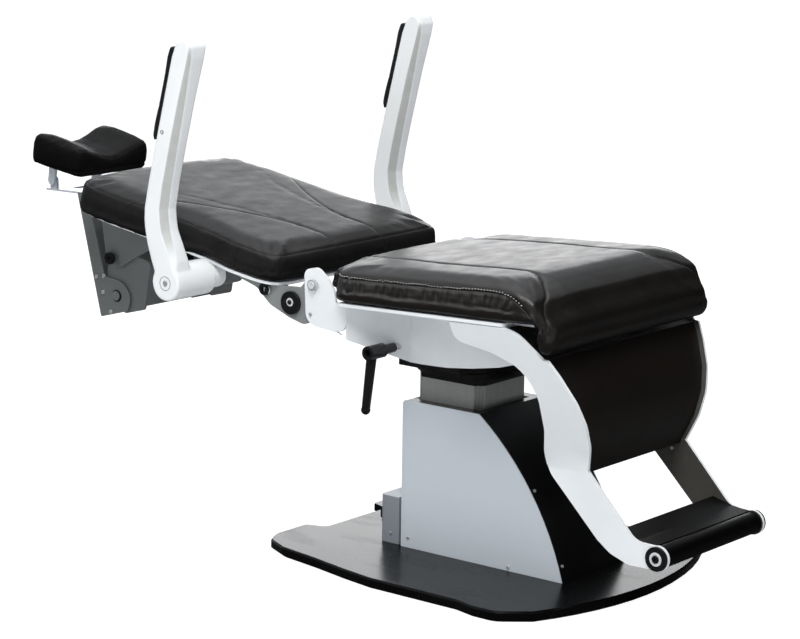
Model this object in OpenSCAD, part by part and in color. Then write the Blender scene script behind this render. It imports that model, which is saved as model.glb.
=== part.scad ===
// Reclining examination chair for eye clinics.
// Frame: +Z up, feet towards -Y, head towards +Y, the sitter's right side at -X.
// The origin is on the floor, under the axis of the lift column.

/* [Base] */
// Width of the base plate at its widest
base_w = 625; // [560:5:680]
// Reach of the base plate in front of the column's axis
base_front = 405; // [370:5:440]
// Reach of the base plate behind the column's axis
base_rear = 315; // [300:5:400]
// Thickness of the steel base plate
base_t = 15; // [10:1:22]
// Height of the bevel round the plate's upper edge
base_bevel = 3; // [1:0.5:5]
// Thickness of the rubber mat under the plate
mat_t = 5; // [3:1:8]
// How far the mat stays inside the plate's edge
mat_inset = 6; // [3:1:15]
// Radius of the plate's wide front curve
base_front_r = 600; // [520:10:900]

/* [Pedestal] */
// Width of the pedestal over its side panels
ped_w = 199; // [190:1:240]
// Height of the pedestal above the base plate
ped_h = 279; // [265:1:320]
// Reach of the pedestal behind the column's axis
ped_rear = 84; // [84:1:110]
// Reach of the pedestal's foot in front of the column's axis
ped_front = 282; // [240:1:320]
// How far the front curve bows out from a straight line
ped_bow = 27; // [15:1:40]
// Sheet thickness of the pedestal's panels
ped_sheet = 2; // [1.5:0.5:3]
// Depth of the level strip between the column and the top of the front curve
ped_shelf = 16; // [10:1:30]

/* [Power box] */
// Width of the power box
box_w = 190; // [150:2:194]
// Depth of the power box
box_d = 52; // [44:1:60]
// Height of the power box
box_h = 90; // [80:1:110]
// Width of the mains inlet's flange
inlet_w = 50; // [40:1:56]
// Height of the mains inlet's flange
inlet_h = 28; // [22:1:34]

/* [Lift column] */
// Width of the moving column, square
col_w = 150; // [140:1:152]
// Wall of the moving column
col_wall = 5; // [3:0.5:8]
// Width of the chamfer on each corner of the moving column
col_chamfer = 15; // [10:1:20]
// Height of the moving column's top above the floor, at the lowest setting
col_top_z = 342; // [336:1:352]
// Wall of the fixed outer column
outer_wall = 4; // [3:0.5:5]
// Thickness of the glide pads between the two columns
pad_t = 1.7; // [1.2:0.1:2]
// Travel of the lift
lift_travel = 160; // [100:5:180]
// Diameter of the lift spindle
spindle_d = 20; // [14:1:26]
// Diameter of the lift motor's housing
motor_d = 88; // [60:1:110]
// Height of the lift motor's housing
motor_h = 78; // [60:1:90]

/* [Swivel] */
// Thickness of the plate on top of the column
top_plate_t = 14; // [8:1:16]
// Diameter of the swivel rings
ring_d = 206; // [180:2:230]
// Height of the lower swivel ring
ring_low_t = 9; // [6:1:14]
// Height of the upper swivel ring
ring_up_t = 10; // [6:1:14]
// Diameter of the swivel post
post_d = 60; // [40:1:80]
// Wall of the bronze bush on the post
bush_wall = 4; // [2:0.5:6]
// Thickness of the thrust washer between the rings
thrust_t = 1.5; // [1:0.5:3]
// Thickness of the turntable plate
table_t = 16; // [10:1:18]

/* [Seat] */
// Width of the seat pan
pan_w = 520; // [480:5:560]
// Thickness of the seat pan
pan_t = 6; // [3:0.5:8]
// Height of the pan's underside above the floor, over the column's axis
pan_z = 497; // [485:1:520]
// Slope of the seat, front edge up, in degrees
seat_tilt = 2; // [0:0.5:5]
// Reach of the pan behind the column's axis
pan_rear = 112; // [100:1:125]
// Reach of the pan's full width in front of the column's axis
pan_front = 258; // [230:2:280]
// Width of the seat cushion
cushion_w = 544; // [500:2:580]
// Thickness of the seat cushion
cushion_t = 72; // [50:1:90]
// Reach of the cushion behind the column's axis
cushion_rear = 198; // [190:1:203]
// Reach of the cushion in front of the column's axis
cushion_front = 360; // [340:1:380]
// How far the front lip hangs below the pan
lip_drop = 46; // [30:1:50]

/* [Seat frame] */
// Sheet thickness of the frame's side plates
side_t = 5; // [4:0.5:8]
// Distance between the side plates' outer faces at the hinge ears
ear_w = 466; // [440:2:480]
// Distance between the side plates' outer faces over the column
belly_w = 304; // [280:2:330]
// Depth of the side plates below the pan, over the column
belly_depth = 111; // [100:1:118]
// Height of the hinge ears above the pan's underside
ear_rise = 62; // [50:1:75]
// Distance of the recline axis behind the column's axis
pivot_y = 187; // [175:1:200]
// Height of the recline axis above the floor
pivot_z = 519; // [505:1:535]
// Diameter of the recline pins
pivot_d = 14; // [10:1:18]

/* [Foot frame] */
// Distance between the outer faces of the foot arms below the bend
foot_w = 314; // [290:2:340]
// Outward lean of the foot arms above the bend, in degrees
foot_lean = 22; // [15:0.5:25]
// Height of the bend above the floor
bend_z = 250; // [230:1:270]
// Sheet thickness of the foot arms
foot_t = 6; // [4:0.5:8]
// Distance of the foot tube's axis in front of the column's axis
tube_y = 518; // [490:1:560]
// Height of the foot tube's axis above the floor
tube_z = 124; // [110:1:140]
// Diameter of the foot tube
tube_d = 39; // [30:1:45]
// Diameter of the caps on the foot tube's ends
cap_d = 43; // [38:1:50]
// Thickness of the leg panel and the foot plate
panel_t = 3; // [2:0.5:5]

/* [Lock lever] */
// Length of the lever's grip
grip_len = 108; // [80:1:125]
// Length of the lever's hub and spacer
hub_len = 74; // [60:1:90]
// Distance of the lever behind the column's axis
lever_y = 45; // [38:1:50]
// Height of the lever's axis above the floor
lever_z = 415; // [411:1:425]
// Diameter of the lever's stud
stud_d = 12; // [10:1:16]

/* [Backrest] */
// Slope of the backrest in the lowest position, in degrees
back_tilt = 9; // [5:0.5:15]
// Distance of the back pan's underside below the recline axis
back_drop = 28; // [24:1:34]
// Thickness of the back pan
back_pan_t = 5; // [3:0.5:8]
// Width of the backrest at the seat end
back_w = 520; // [480:2:540]
// Width of the backrest past the armrests
back_waist_w = 486; // [440:2:496]
// Distance from the recline axis to the back cushion's near end
back_start = 72; // [68:1:90]
// Distance from the recline axis to the back cushion's far end
back_end = 655; // [620:1:680]
// Thickness of the back cushion
back_t = 60; // [45:1:75]
// Thickness of the backrest's bracket plates
bracket_t = 6; // [4:0.5:8]
// Diameter of the larger buffer disc on each bracket
buffer_d = 43; // [30:1:48]

/* [Armrests] */
// Distance from the recline axis to the armrest axis, along the back
hub_y = 248; // [235:1:265]
// Distance of the armrest axis below the recline axis, square to the back
hub_drop = 53; // [51:0.5:60]
// Diameter of the armrest's hub
hub_d = 66; // [56:1:72]
// Distance between the outer faces of the two hubs
arm_span = 712; // [690:2:740]
// Height of the armrest above its axis
arm_len = 452; // [400:2:500]
// Width of the armrest across the sitter
arm_w = 46; // [38:1:54]
// Bevel on the armrest's front edges
arm_bevel = 13; // [6:1:16]
// Diameter of the armrest's axle
axle_d = 16; // [12:1:20]
// Thickness of the armrest's pad
arm_pad_t = 13; // [8:1:20]

/* [Headrest] */
// Distance between the outer faces of the headrest's link plates
head_w = 266; // [240:2:290]
// Sheet thickness of the headrest's plates
head_sheet = 4; // [3:0.5:5]
// Width of the headrest cushion
rest_w = 212; // [190:2:260]
// Depth of the headrest cushion
rest_d = 146; // [120:1:160]
// Thickness of the headrest cushion at its lobes
rest_t = 66; // [50:1:80]
// Thickness of the headrest cushion at its dip
rest_dip_t = 38; // [25:1:50]

/* [Hidden] */

$fn = 48;
// Overrun of every cut
over = 1;
// Gap between a moving soft or curved piece and its neighbour
gap = 0.3;
// Radial clearance of a shaft in its bearing
run = 0.05;
// Steps of each rounded corner in an outline
corner_steps = 5;
// Steps of each long curve in an outline
curve_steps = 12;

base_top_z = mat_t + base_t;
ped_top_z = base_top_z + ped_h;
foot_plate_t = 12;
lean_tan = tan(foot_lean);
ring_low_z = col_top_z + top_plate_t;
thrust_z = ring_low_z + ring_low_t;
ring_up_z = thrust_z + thrust_t + gap;
table_z = ring_up_z + ring_up_t;
belly_x = belly_w / 2;
ear_x = ear_w / 2;
foot_x = foot_w / 2;
hub_world_y = pivot_y + hub_y * cos(back_tilt) + hub_drop * sin(back_tilt);
hub_world_z = pivot_z + hub_y * sin(back_tilt) - hub_drop * cos(back_tilt);

// Colours
paint_white = [0.93, 0.94, 0.95];
panel_silver = [0.74, 0.77, 0.8];
leather_black = [0.07, 0.065, 0.065];
satin_black = [0.08, 0.08, 0.085];
bracket_grey = [0.42, 0.44, 0.44];
anodised = [0.7, 0.71, 0.7];
steel = [0.78, 0.79, 0.8];
bronze = [0.72, 0.55, 0.32];
rubber_black = [0.05, 0.05, 0.05];

// Outlines
function unit(v) = v / norm(v);
function corner_arc(p, a, b, r) =
  let (u = unit(a - p))
  let (v = unit(b - p))
  let (half = acos(u * v) / 2)
  let (c = p + unit(u + v) * r / sin(half))
  let (s = p + u * r / tan(half) - c)
  let (e = p + v * r / tan(half) - c)
  let (a0 = atan2(s.y, s.x))
  let (turn = (atan2(e.y, e.x) - a0 + 540) % 360 - 180)
  [for (i = [0:corner_steps]) c + r * [cos(a0 + turn * i / corner_steps), sin(a0 + turn * i / corner_steps)]];
function rounded(pts, radii) =
  let (n = len(pts))
  [for (i = [0:n - 1])
    each radii[i] > 0 ? corner_arc(pts[i], pts[(i + n - 1) % n], pts[(i + 1) % n], radii[i]) : [pts[i]]];
function sag_arc(p, q, sag, steps) =
  let (chord = norm(q - p))
  let (r = (chord * chord / 4 + sag * sag) / (2 * sag))
  let (side = [p.y - q.y, q.x - p.x] / chord)
  let (c = (p + q) / 2 + side * (r - sag))
  let (span = asin(chord / 2 / r))
  let (mid = atan2(-side.y, -side.x))
  [for (i = [0:steps]) c + r * [cos(mid - span + 2 * span * i / steps), sin(mid - span + 2 * span * i / steps)]];
function scaled(shares, x_size, y_size) = [for (s = shares) [s.x * x_size, s.y * y_size]];
function flip(pts) = [for (i = [len(pts) - 1:-1:0]) [-pts[i].x, pts[i].y]];

// A sheet with the outline pts in Y and Z, from x0 towards +X
module yz_sheet(pts, x0, t) {
  translate([x0, 0, 0]) rotate([90, 0, 90]) linear_extrude(t) polygon(pts);
}
// A sheet with the outline pts in X and Z, from y0 towards +Y
module xz_sheet(pts, y0, t) {
  translate([0, y0 + t, 0]) rotate([90, 0, 0]) linear_extrude(t) polygon(pts);
}
// A round bar along X between x0 and x1
module x_bar(d, x0, x1, y, z) {
  translate([x0, y, z]) rotate([0, 90, 0]) cylinder(h = x1 - x0, d = d);
}
module both_sides() {
  children();
  mirror([1, 0, 0]) children();
}
module in_seat() {
  translate([0, 0, pan_z]) rotate([-seat_tilt, 0, 0]) children();
}
module in_back() {
  translate([0, pivot_y, pivot_z]) rotate([back_tilt, 0, 0]) children();
}
// A skin through rings of points, closed at both ends
module loft(rings) {
  n = len(rings[0]);
  last = len(rings) - 1;
  points = [for (ring = rings) each ring];
  walls = [for (k = [0:last - 1]) for (i = [0:n - 1])
    let (a = k * n + i)
    let (b = k * n + (i + 1) % n)
    each [[a, b + n, b], [a, a + n, b + n]]];
  polyhedron(concat(points,
      [[for (j = [0:2]) (min([for (p = rings[0]) p[j]]) + max([for (p = rings[0]) p[j]])) / 2],
       [for (j = [0:2]) (min([for (p = rings[last]) p[j]]) + max([for (p = rings[last]) p[j]])) / 2]]),
    concat(walls,
      [for (i = [0:n - 1]) [i, (i + 1) % n, len(points)]],
      [for (i = [0:n - 1]) [last * n + (i + 1) % n, last * n + i, len(points) + 1]]));
}

// Base

base_side_shares = [[1, -0.72], [0.998, -0.6], [0.962, -0.49], [0.955, 0], [0.913, 0.23], [0.853, 0.49], [0.8, 0.78],
  [0.72, 0.94], [0.6, 1], [0.333, 1], [0.29, 0.87]];
base_corner_shares = [0.13, 0.06, 0.06, 0.1, 0.1, 0.1, 0.12, 0.1, 0.1, 0.03, 0.06];
front_span_share = 0.86;
function base_outline(inset) =
  let (hw = base_w / 2 - inset)
  let (front = base_front - inset)
  let (rear = base_rear - inset)
  let (span = asin(hw * front_span_share / base_front_r))
  let (arc = [for (i = [-6:6]) [base_front_r * sin(span * i / 6), base_front_r * (1 - cos(span * i / 6)) - front]])
  let (side = [for (s = base_side_shares) [s.x * hw, s.y < 0 ? s.y * front : s.y * rear]])
  let (radii = base_corner_shares * hw)
  rounded(concat(arc, side, flip(side)),
    concat([for (p = arc) 0], radii, [for (i = [len(radii) - 1:-1:0]) radii[i]]));

module base_mat() {
  color(rubber_black) linear_extrude(mat_t) polygon(base_outline(mat_inset));
}

module base_plate() {
  color(satin_black) loft([
    [for (p = base_outline(0)) [p.x, p.y, mat_t]],
    [for (p = base_outline(0)) [p.x, p.y, base_top_z - base_bevel]],
    [for (p = base_outline(base_bevel)) [p.x, p.y, base_top_z]]]);
}

// Pedestal

ped_x = ped_w / 2;
ped_shelf_y = -col_w / 2 - ped_shelf;
ped_corner_r = 8;
function front_curve(inset) =
  sag_arc([ped_shelf_y + inset, ped_top_z - inset], [-ped_front + inset, base_top_z], ped_bow, curve_steps);
function ped_outline(inset) =
  let (curve = front_curve(inset))
  concat(curve, rounded_rear(inset));
function rounded_rear(inset) =
  let (top = ped_top_z - inset)
  let (rear = ped_rear - inset)
  concat([[rear, base_top_z]],
    corner_arc([rear, top], [rear, base_top_z], [ped_shelf_y, top], ped_corner_r - inset));

ped_screw_r = 3.2;
ped_screw_head = 2.2;
ped_screw_inset = 17;
ped_screw_rise_shares = [0.068, 0.026];
side_screw_spots = [
  [ped_rear - ped_screw_inset, base_top_z + ped_h * ped_screw_rise_shares[0]],
  [ped_screw_inset * 2 - ped_front * 0.7, base_top_z + ped_h * ped_screw_rise_shares[1]]];

module pedestal_side(x0) {
  color(panel_silver) difference() {
    yz_sheet(ped_outline(0), x0, ped_sheet);
    for (spot = side_screw_spots) x_bar(ped_screw_r, x0 - over, x0 + ped_sheet + over, spot.x, spot.y);
  }
}
module pedestal_side_right() { pedestal_side(-ped_x); }
module pedestal_side_left() { pedestal_side(ped_x - ped_sheet); }

cover_half_w = ped_x - ped_sheet;
module pedestal_front() {
  outer = front_curve(0);
  inner = front_curve(ped_sheet);
  shelf = [[-col_w / 2 - gap * 3, ped_top_z - ped_sheet], [-col_w / 2 - gap * 3, ped_top_z]];
  color(satin_black) difference() {
    yz_sheet(concat(outer, [for (i = [len(inner) - 1:-1:0]) inner[i]], shelf), -cover_half_w, 2 * cover_half_w);
    front_screw_pairs() cylinder(h = ped_sheet * 4, d = ped_screw_r, center = true);
  }
}
front_screw_step_shares = [0.5, 0.94];
module front_screw_pairs() {
  curve = front_curve(0);
  for (share = front_screw_step_shares) {
    k = round(share * curve_steps);
    p = curve[k];
    d = curve[k] - curve[k - 1];
    for (side = [-1, 1])
      translate([side * (cover_half_w - ped_screw_inset * 0.6), p.x, p.y]) rotate([atan2(d.y, d.x) + 180, 0, 0]) children();
  }
}

module pedestal_rear() {
  color(panel_silver) difference() {
    translate([-cover_half_w, ped_rear - ped_sheet, base_top_z])
      cube([2 * cover_half_w, ped_sheet, ped_h - ped_corner_r]);
    translate([0, ped_rear, box_mid_z]) rotate([90, 0, 0]) cylinder(h = ped_sheet * 4, d = cable_hole_d, center = true);
  }
}
cable_hole_d = 18;
box_mid_z = base_top_z + box_h / 2;

module pedestal_top() {
  opening = col_w + 6 * gap;
  front = -col_w / 2 - 3 * gap;
  rear = ped_rear - ped_corner_r;
  color(panel_silver) difference() {
    translate([-cover_half_w, front, ped_top_z - ped_sheet]) cube([2 * cover_half_w, rear - front, ped_sheet]);
    translate([-opening / 2, -opening / 2 - over, ped_top_z - ped_sheet - over])
      cube([opening, opening + over, ped_sheet + 2 * over]);
  }
}

module screw_head() {
  cylinder(h = ped_screw_head, r1 = ped_screw_r, r2 = ped_screw_r * 0.8);
  translate([0, 0, -ped_sheet]) cylinder(h = ped_sheet, d = ped_screw_r - 2 * run);
}
module cover_screws() {
  color(steel) {
    both_sides() for (spot = side_screw_spots)
      translate([ped_x, spot.x, spot.y]) rotate([0, 90, 0]) screw_head();
    front_screw_pairs() screw_head();
    both_sides() translate([box_w / 2, ped_rear + box_d * 0.54, base_top_z + ped_h * ped_screw_rise_shares[0]])
      rotate([0, 90, 0]) cylinder(h = ped_screw_head, r1 = ped_screw_r, r2 = ped_screw_r * 0.8);
  }
}

// Power box

box_gap = 9;
box_corner_r = 7;
inlet_t = 3;
module power_box() {
  x = box_w / 2;
  y0 = ped_rear + box_gap;
  y1 = ped_rear + box_d;
  outline = rounded([[-x, y0], [x, y0], [x, y1], [-x, y1]], [0, 0, box_corner_r, box_corner_r]);
  color(panel_silver) difference() {
    translate([0, 0, base_top_z]) linear_extrude(box_h) polygon(outline);
    translate([switch_x - switch_w / 2 - gap, y1 - switch_d - gap, switch_z - switch_h / 2 - gap])
      cube([switch_w + 2 * gap, switch_d + gap + over, switch_h + 2 * gap]);
  }
  // Spacer that holds the box clear of the pedestal
  color(rubber_black) translate([-x * 0.8, ped_rear, base_top_z]) cube([box_w * 0.8, box_gap, box_h * 0.94]);
}

module power_inlet() {
  y1 = ped_rear + box_d;
  x0 = -box_w / 2 + box_corner_r;
  z0 = base_top_z + box_h * 0.39;
  flange_t = inlet_t;
  socket_w = inlet_w * 0.56;
  color(satin_black) difference() {
    union() {
      translate([x0, y1, z0]) cube([inlet_w, flange_t, inlet_h]);
      translate([x0 + (inlet_w - socket_w) / 2, y1, z0 + inlet_h * 0.12])
        cube([socket_w, flange_t * 5, inlet_h * 0.76]);
    }
    translate([x0 + (inlet_w - socket_w) / 2 + flange_t, y1 + flange_t, z0 + inlet_h * 0.12 + flange_t])
      cube([socket_w - 2 * flange_t, flange_t * 4 + over, inlet_h * 0.76 - 2 * flange_t]);
  }
}

switch_w = 13;
switch_h = 19;
switch_d = 9;
switch_rise = 3;
switch_x = box_w / 2 - box_corner_r - switch_w / 2 - 4 * gap;
switch_z = base_top_z + box_h * 0.62;
switch_pin_y = ped_rear + box_d - switch_d / 3;
module power_switch() {
  // A rocker: a wedge-faced key with a barrel on its own axis
  half = switch_h / 2 - gap;
  face = ped_rear + box_d;
  low = [switch_pin_y - switch_d / 3, switch_z];
  color(satin_black) {
    yz_sheet([low, [switch_pin_y, switch_z - half], [face + gap, switch_z - half], [face + gap * 2, switch_z],
        [face + switch_rise, switch_z + half * 0.9], [switch_pin_y, switch_z + half]],
      switch_x - switch_w / 2 + gap, switch_w - 2 * gap);
    x_bar(switch_d * 0.7, switch_x - switch_w / 2 + gap / 2, switch_x + switch_w / 2 - gap / 2, switch_pin_y, switch_z);
  }
}

// Lift column

outer_in = col_w + 2 * (pad_t + gap);
outer_out = outer_in + 2 * outer_wall;
foot_top_z = base_top_z + foot_plate_t;
foot_w_x = ped_w - 2 * ped_sheet - 4 * over;
foot_bolt_d = 10;
module column_foot() {
  y1 = ped_rear - ped_sheet - over;
  y0 = -col_w;
  bolt_x = foot_w_x / 2 - foot_bolt_d;
  color(steel) difference() {
    translate([-foot_w_x / 2, y0, base_top_z]) cube([foot_w_x, y1 - y0, foot_plate_t]);
    for (sx = [-1, 1]) translate([sx * bolt_x, y0 + 2 * foot_bolt_d, base_top_z - over])
      cylinder(h = foot_plate_t + 2 * over, d = foot_bolt_d);
  }
  color(steel) for (sx = [-1, 1])
    translate([sx * bolt_x, y0 + 2 * foot_bolt_d, foot_top_z]) cylinder(h = foot_bolt_d * 0.6, d = foot_bolt_d * 1.7, $fn = 6);
}

outer_top_z = ped_top_z - ped_sheet - over;
module column_outer() {
  color(anodised) difference() {
    translate([-outer_out / 2, -outer_out / 2, foot_top_z]) cube([outer_out, outer_out, outer_top_z - foot_top_z]);
    translate([-outer_in / 2, -outer_in / 2, foot_top_z - over])
      cube([outer_in, outer_in, outer_top_z - foot_top_z + 2 * over]);
  }
}

pad_h = 46;
module glide_pads() {
  w = col_w * 0.5;
  color([0.9, 0.9, 0.86]) for (turn = [0:90:270]) rotate([0, 0, turn])
    translate([-w / 2, outer_in / 2 - pad_t, outer_top_z - pad_h]) cube([w, pad_t, pad_h]);
}

module lift_motor() {
  color(steel) {
    translate([0, 0, foot_top_z]) cylinder(h = motor_h * 0.7, d = motor_d);
    translate([0, 0, foot_top_z + motor_h * 0.7]) cylinder(h = motor_h * 0.3, d = motor_d * 0.6);
  }
}

nut_h = 30;
nut_z = foot_top_z + motor_h + nut_h / 5;
spindle_top_z = nut_z + lift_travel + nut_h;
module lift_spindle() {
  z0 = foot_top_z + motor_h;
  color(steel) translate([0, 0, z0]) cylinder(h = min(spindle_top_z, col_top_z - nut_h) - z0, d = spindle_d);
}

module lift_nut() {
  inside = col_w - 2 * col_wall;
  plate_t = nut_h * 0.3;
  corner = col_chamfer;
  h = inside / 2;
  outline = [[h - corner, -h], [h, -h + corner], [h, h - corner], [h - corner, h],
    [-h + corner, h], [-h, h - corner], [-h, -h + corner], [-h + corner, -h]];
  color(bronze) difference() {
    union() {
      translate([0, 0, nut_z]) linear_extrude(plate_t) polygon(outline);
      translate([0, 0, nut_z]) cylinder(h = nut_h, d = spindle_d * 2);
    }
    translate([0, 0, nut_z - over]) cylinder(h = nut_h + 2 * over, d = spindle_d + 2 * run);
  }
}

groove_w = 3;
groove_share = 0.8;
function col_outline(inset) =
  let (h = col_w / 2 - inset)
  let (c = col_chamfer)
  [[h - c, -h], [h, -h + c], [h, h - c], [h - c, h], [-h + c, h], [-h, h - c], [-h, -h + c], [-h + c, -h]];
module column_inner() {
  z0 = foot_top_z + 2 * foot_plate_t;
  color(anodised) difference() {
    translate([0, 0, z0]) linear_extrude(col_top_z - z0) polygon(col_outline(0));
    translate([0, 0, z0 - over]) linear_extrude(col_top_z - z0 + 2 * over) polygon(col_outline(col_wall));
    // Three grooves in each corner chamfer
    for (turn = [45:90:315]) rotate([0, 0, turn]) for (k = [-1, 0, 1])
      translate([col_w / sqrt(2) - col_chamfer / sqrt(2) - groove_w * groove_share, (k * 2 - 0.5) * groove_w, z0 - over])
        cube([groove_w, groove_w, col_top_z - z0 + 2 * over]);
  }
}

module column_top_plate() {
  color(satin_black) translate([0, 0, col_top_z]) linear_extrude(top_plate_t) polygon(col_outline(0));
}

// Swivel

module swivel_base_ring() {
  color(satin_black) {
    translate([0, 0, ring_low_z]) cylinder(h = ring_low_t, d = ring_d, $fn = 96);
    translate([0, 0, thrust_z]) cylinder(h = table_z + table_t - thrust_z, d = post_d);
  }
}
module thrust_washer() {
  color(bronze) difference() {
    translate([0, 0, thrust_z]) cylinder(h = thrust_t, d = ring_d - 2 * ring_low_t);
    translate([0, 0, thrust_z - over]) cylinder(h = thrust_t + 2 * over, d = post_d + 2 * run);
  }
}
bush_d = post_d + 2 * run + 2 * bush_wall;
module swivel_bush() {
  color(bronze) difference() {
    translate([0, 0, ring_up_z]) cylinder(h = ring_up_t + table_t, d = bush_d);
    translate([0, 0, ring_up_z - over]) cylinder(h = ring_up_t + table_t + 2 * over, d = post_d + 2 * run);
  }
}
module swivel_ring() {
  color(satin_black) difference() {
    translate([0, 0, ring_up_z]) cylinder(h = ring_up_t, d = ring_d, $fn = 96);
    translate([0, 0, ring_up_z - over]) cylinder(h = ring_up_t + 2 * over, d = bush_d);
  }
}
table_front_share = 0.8;
module turntable_plate() {
  half = belly_x - side_t;
  front = ring_d / 2 * table_front_share;
  rear = lever_y + brake_d;
  color(paint_white) difference() {
    translate([-half, -front, table_z]) cube([2 * half, front + rear, table_t]);
    translate([0, 0, table_z - over]) cylinder(h = table_t + 2 * over, d = bush_d);
  }
}

// Seat frame

// Depths of the side plate's lower edge below the pan, as shares of the belly's depth
ear_edge_shares = [[1.112, 0.36], [0.984, 0.438], [0.706, 0.49], [0.6, 0.588]];
mid_edge_shares = [[0.6, 0.588], [0.16, 0.99]];
ear_top_shares = [[0.6, 0], [0.725, 0], [0.75, 0.36], [0.82, 0.68], [0.94, 0.98], [1.118, 0.88]];
ear_radius_shares = [0, 0, 0, 0.06, 0.1, 0.08, 0.13, 0.05, 0.2, 0.1];
belly_edge_shares = [[0.16, 0.99], [0.02, 1], [-0.28, 1], [-0.59, 0.955], [-0.9, 0.88], [-1.16, 0.77], [-1.29, 0.6], [-1.33, 0.2]];
belly_radius_shares = [0, 0.13, 0.36, 0.54, 0.54, 0.54, 0.27, 0, 0, 0];
ear_len = pivot_y;
ear_bend_y = mid_edge_shares[0].x * ear_len;
belly_start_y = mid_edge_shares[1].x * ear_len;
function seat_z(y, z) = (z - pan_z) * cos(seat_tilt) + y * sin(seat_tilt);
pivot_seat_z = seat_z(pivot_y, pivot_z);
pivot_seat_y = pivot_y * cos(seat_tilt) - (pivot_z - pan_z) * sin(seat_tilt);
ear_side_r = 24;

module ear_plate_flat() {
  low = scaled(ear_edge_shares, ear_len, -belly_depth);
  pts = concat(scaled(ear_top_shares, ear_len, ear_rise), [low[0], low[1], low[2], low[3]]);
  difference() {
    yz_sheet(rounded(pts, ear_radius_shares * ear_len), ear_x - side_t, side_t);
    x_bar(pivot_d + 2 * run, ear_x - side_t - over, ear_x + over, pivot_seat_y, pivot_seat_z);
  }
}
module mid_plate() {
  run_y = ear_bend_y - belly_start_y;
  run_x = ear_x - belly_x;
  length = norm([run_x, run_y]);
  turn = atan2(run_x, run_y);
  low_a = -belly_depth * mid_edge_shares[1].y;
  low_b = -belly_depth * mid_edge_shares[0].y;
  translate([belly_x, belly_start_y, 0]) rotate([0, 0, -turn])
    yz_sheet([[0, low_a], [length, low_b], [length, 0], [0, 0]], -side_t, side_t);
}
module belly_plate() {
  low = scaled(belly_edge_shares, ear_len, -belly_depth);
  last = low[len(low) - 1];
  root = belly_start_y + side_t / 2;
  pts = concat([for (i = [len(low) - 1:-1:1]) low[i]], [[root, low[0].y], [root, 0], [last.x, 0]]);
  yz_sheet(rounded(pts, belly_radius_shares * belly_depth), belly_x - side_t, side_t);
}
module side_top_flange() {
  // Folded lip that the pan is screwed to
  front = belly_edge_shares[len(belly_edge_shares) - 1].x * ear_len;
  translate([belly_x, front, -side_t]) cube([side_t * 5, belly_start_y - front, side_t]);
}
module frame_side_body() {
  in_seat() {
    ear_plate_flat();
    mid_plate();
    side_top_flange();
    belly_plate();
  }
}
module frame_side_left() {
  color(paint_white) frame_side_body();
}
module frame_side_right() {
  color(paint_white) difference() {
    mirror([1, 0, 0]) frame_side_body();
    x_bar(stud_d + 2 * gap, -ear_x, -belly_x, lever_y, lever_z);
  }
}

beam_wall = 4;
module frame_front_beam() {
  half = belly_x - side_t;
  y0 = -ear_len * 1.08;
  color(paint_white) in_seat() difference() {
    translate([-half, y0, -belly_depth * 0.72]) cube([2 * half, belly_depth * 0.36, belly_depth * 0.72]);
    translate([-half - over, y0 + beam_wall, -belly_depth * 0.72 - over])
      cube([2 * half + 2 * over, belly_depth * 0.36 - 2 * beam_wall, belly_depth * 0.72 + over - beam_wall]);
  }
}
module frame_rear_beam() {
  half = belly_x - side_t;
  color(paint_white) in_seat() difference() {
    translate([-half, belly_start_y - belly_depth * 0.36, -belly_depth * 0.62])
      cube([2 * half, belly_depth * 0.36, belly_depth * 0.62]);
    translate([-half - over, belly_start_y - belly_depth * 0.36 + beam_wall, -belly_depth * 0.62 - over])
      cube([2 * half + 2 * over, belly_depth * 0.36 - 2 * beam_wall, belly_depth * 0.62 + over - beam_wall]);
  }
}

brake_d = 12;
brake_h = 36;
brake_len = 46;
module brake_block() {
  x1 = belly_x - side_t;
  z0 = table_z + table_t;
  color(bracket_grey) difference() {
    translate([-x1, lever_y - brake_d, z0]) cube([brake_len, 2 * brake_d, brake_h]);
    x_bar(stud_d + 2 * run, -x1 - over, -x1 + brake_len + over, lever_y, lever_z);
  }
}

module seat_pan() {
  hw = pan_w / 2;
  tongue = pan_w / 2 - foot_t * 5;
  front = cushion_front - cushion_t * 0.6;
  outline = rounded([[-tongue, -front], [tongue, -front], [tongue, -pan_front], [hw, -pan_front], [hw, pan_rear],
      [-hw, pan_rear], [-hw, -pan_front], [-tongue, -pan_front]],
    [ear_side_r, ear_side_r, 0, ear_side_r / 3, ear_side_r / 3, ear_side_r / 3, ear_side_r / 3, 0]);
  color(paint_white) in_seat() linear_extrude(pan_t) polygon(outline);
}

// Cushion sections: half of a closed loop, from the underside's middle out and up to the top's middle.
// Each row is a share of the half width and a share of the height.
pad_side_shares = [[0, 0], [0.5, 0], [0.93, 0], [0.975, 0.06], [0.995, 0.2], [1, 0.38], [0.994, 0.55],
  [0.982, 0.66], [0.985, 0.72], [0.975, 0.82], [0.95, 0.91], [0.9, 0.965], [0.8, 0.985]];
seam_w_share = 0.014;
seam_deep_share = 0.035;
function pad_half(seam, deep) =
  concat(pad_side_shares,
    [[(0.8 + seam) / 2, 0.995], [seam + seam_w_share, 0.998], [seam, 0.998 - deep], [seam - seam_w_share, 1],
     [seam / 2, 1.004]]);
function pad_ring(y, hw, low, top, seam, deep = seam_deep_share) =
  let (half = pad_half(seam, deep))
  let (right = [for (s = half) [s.x * hw, y, low + s.y * (top - low)]])
  let (left = [for (i = [len(right) - 1:-1:1]) [-right[i].x, y, right[i].z]])
  concat(right, [[0, y, low + 1.006 * (top - low)]], left);

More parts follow.
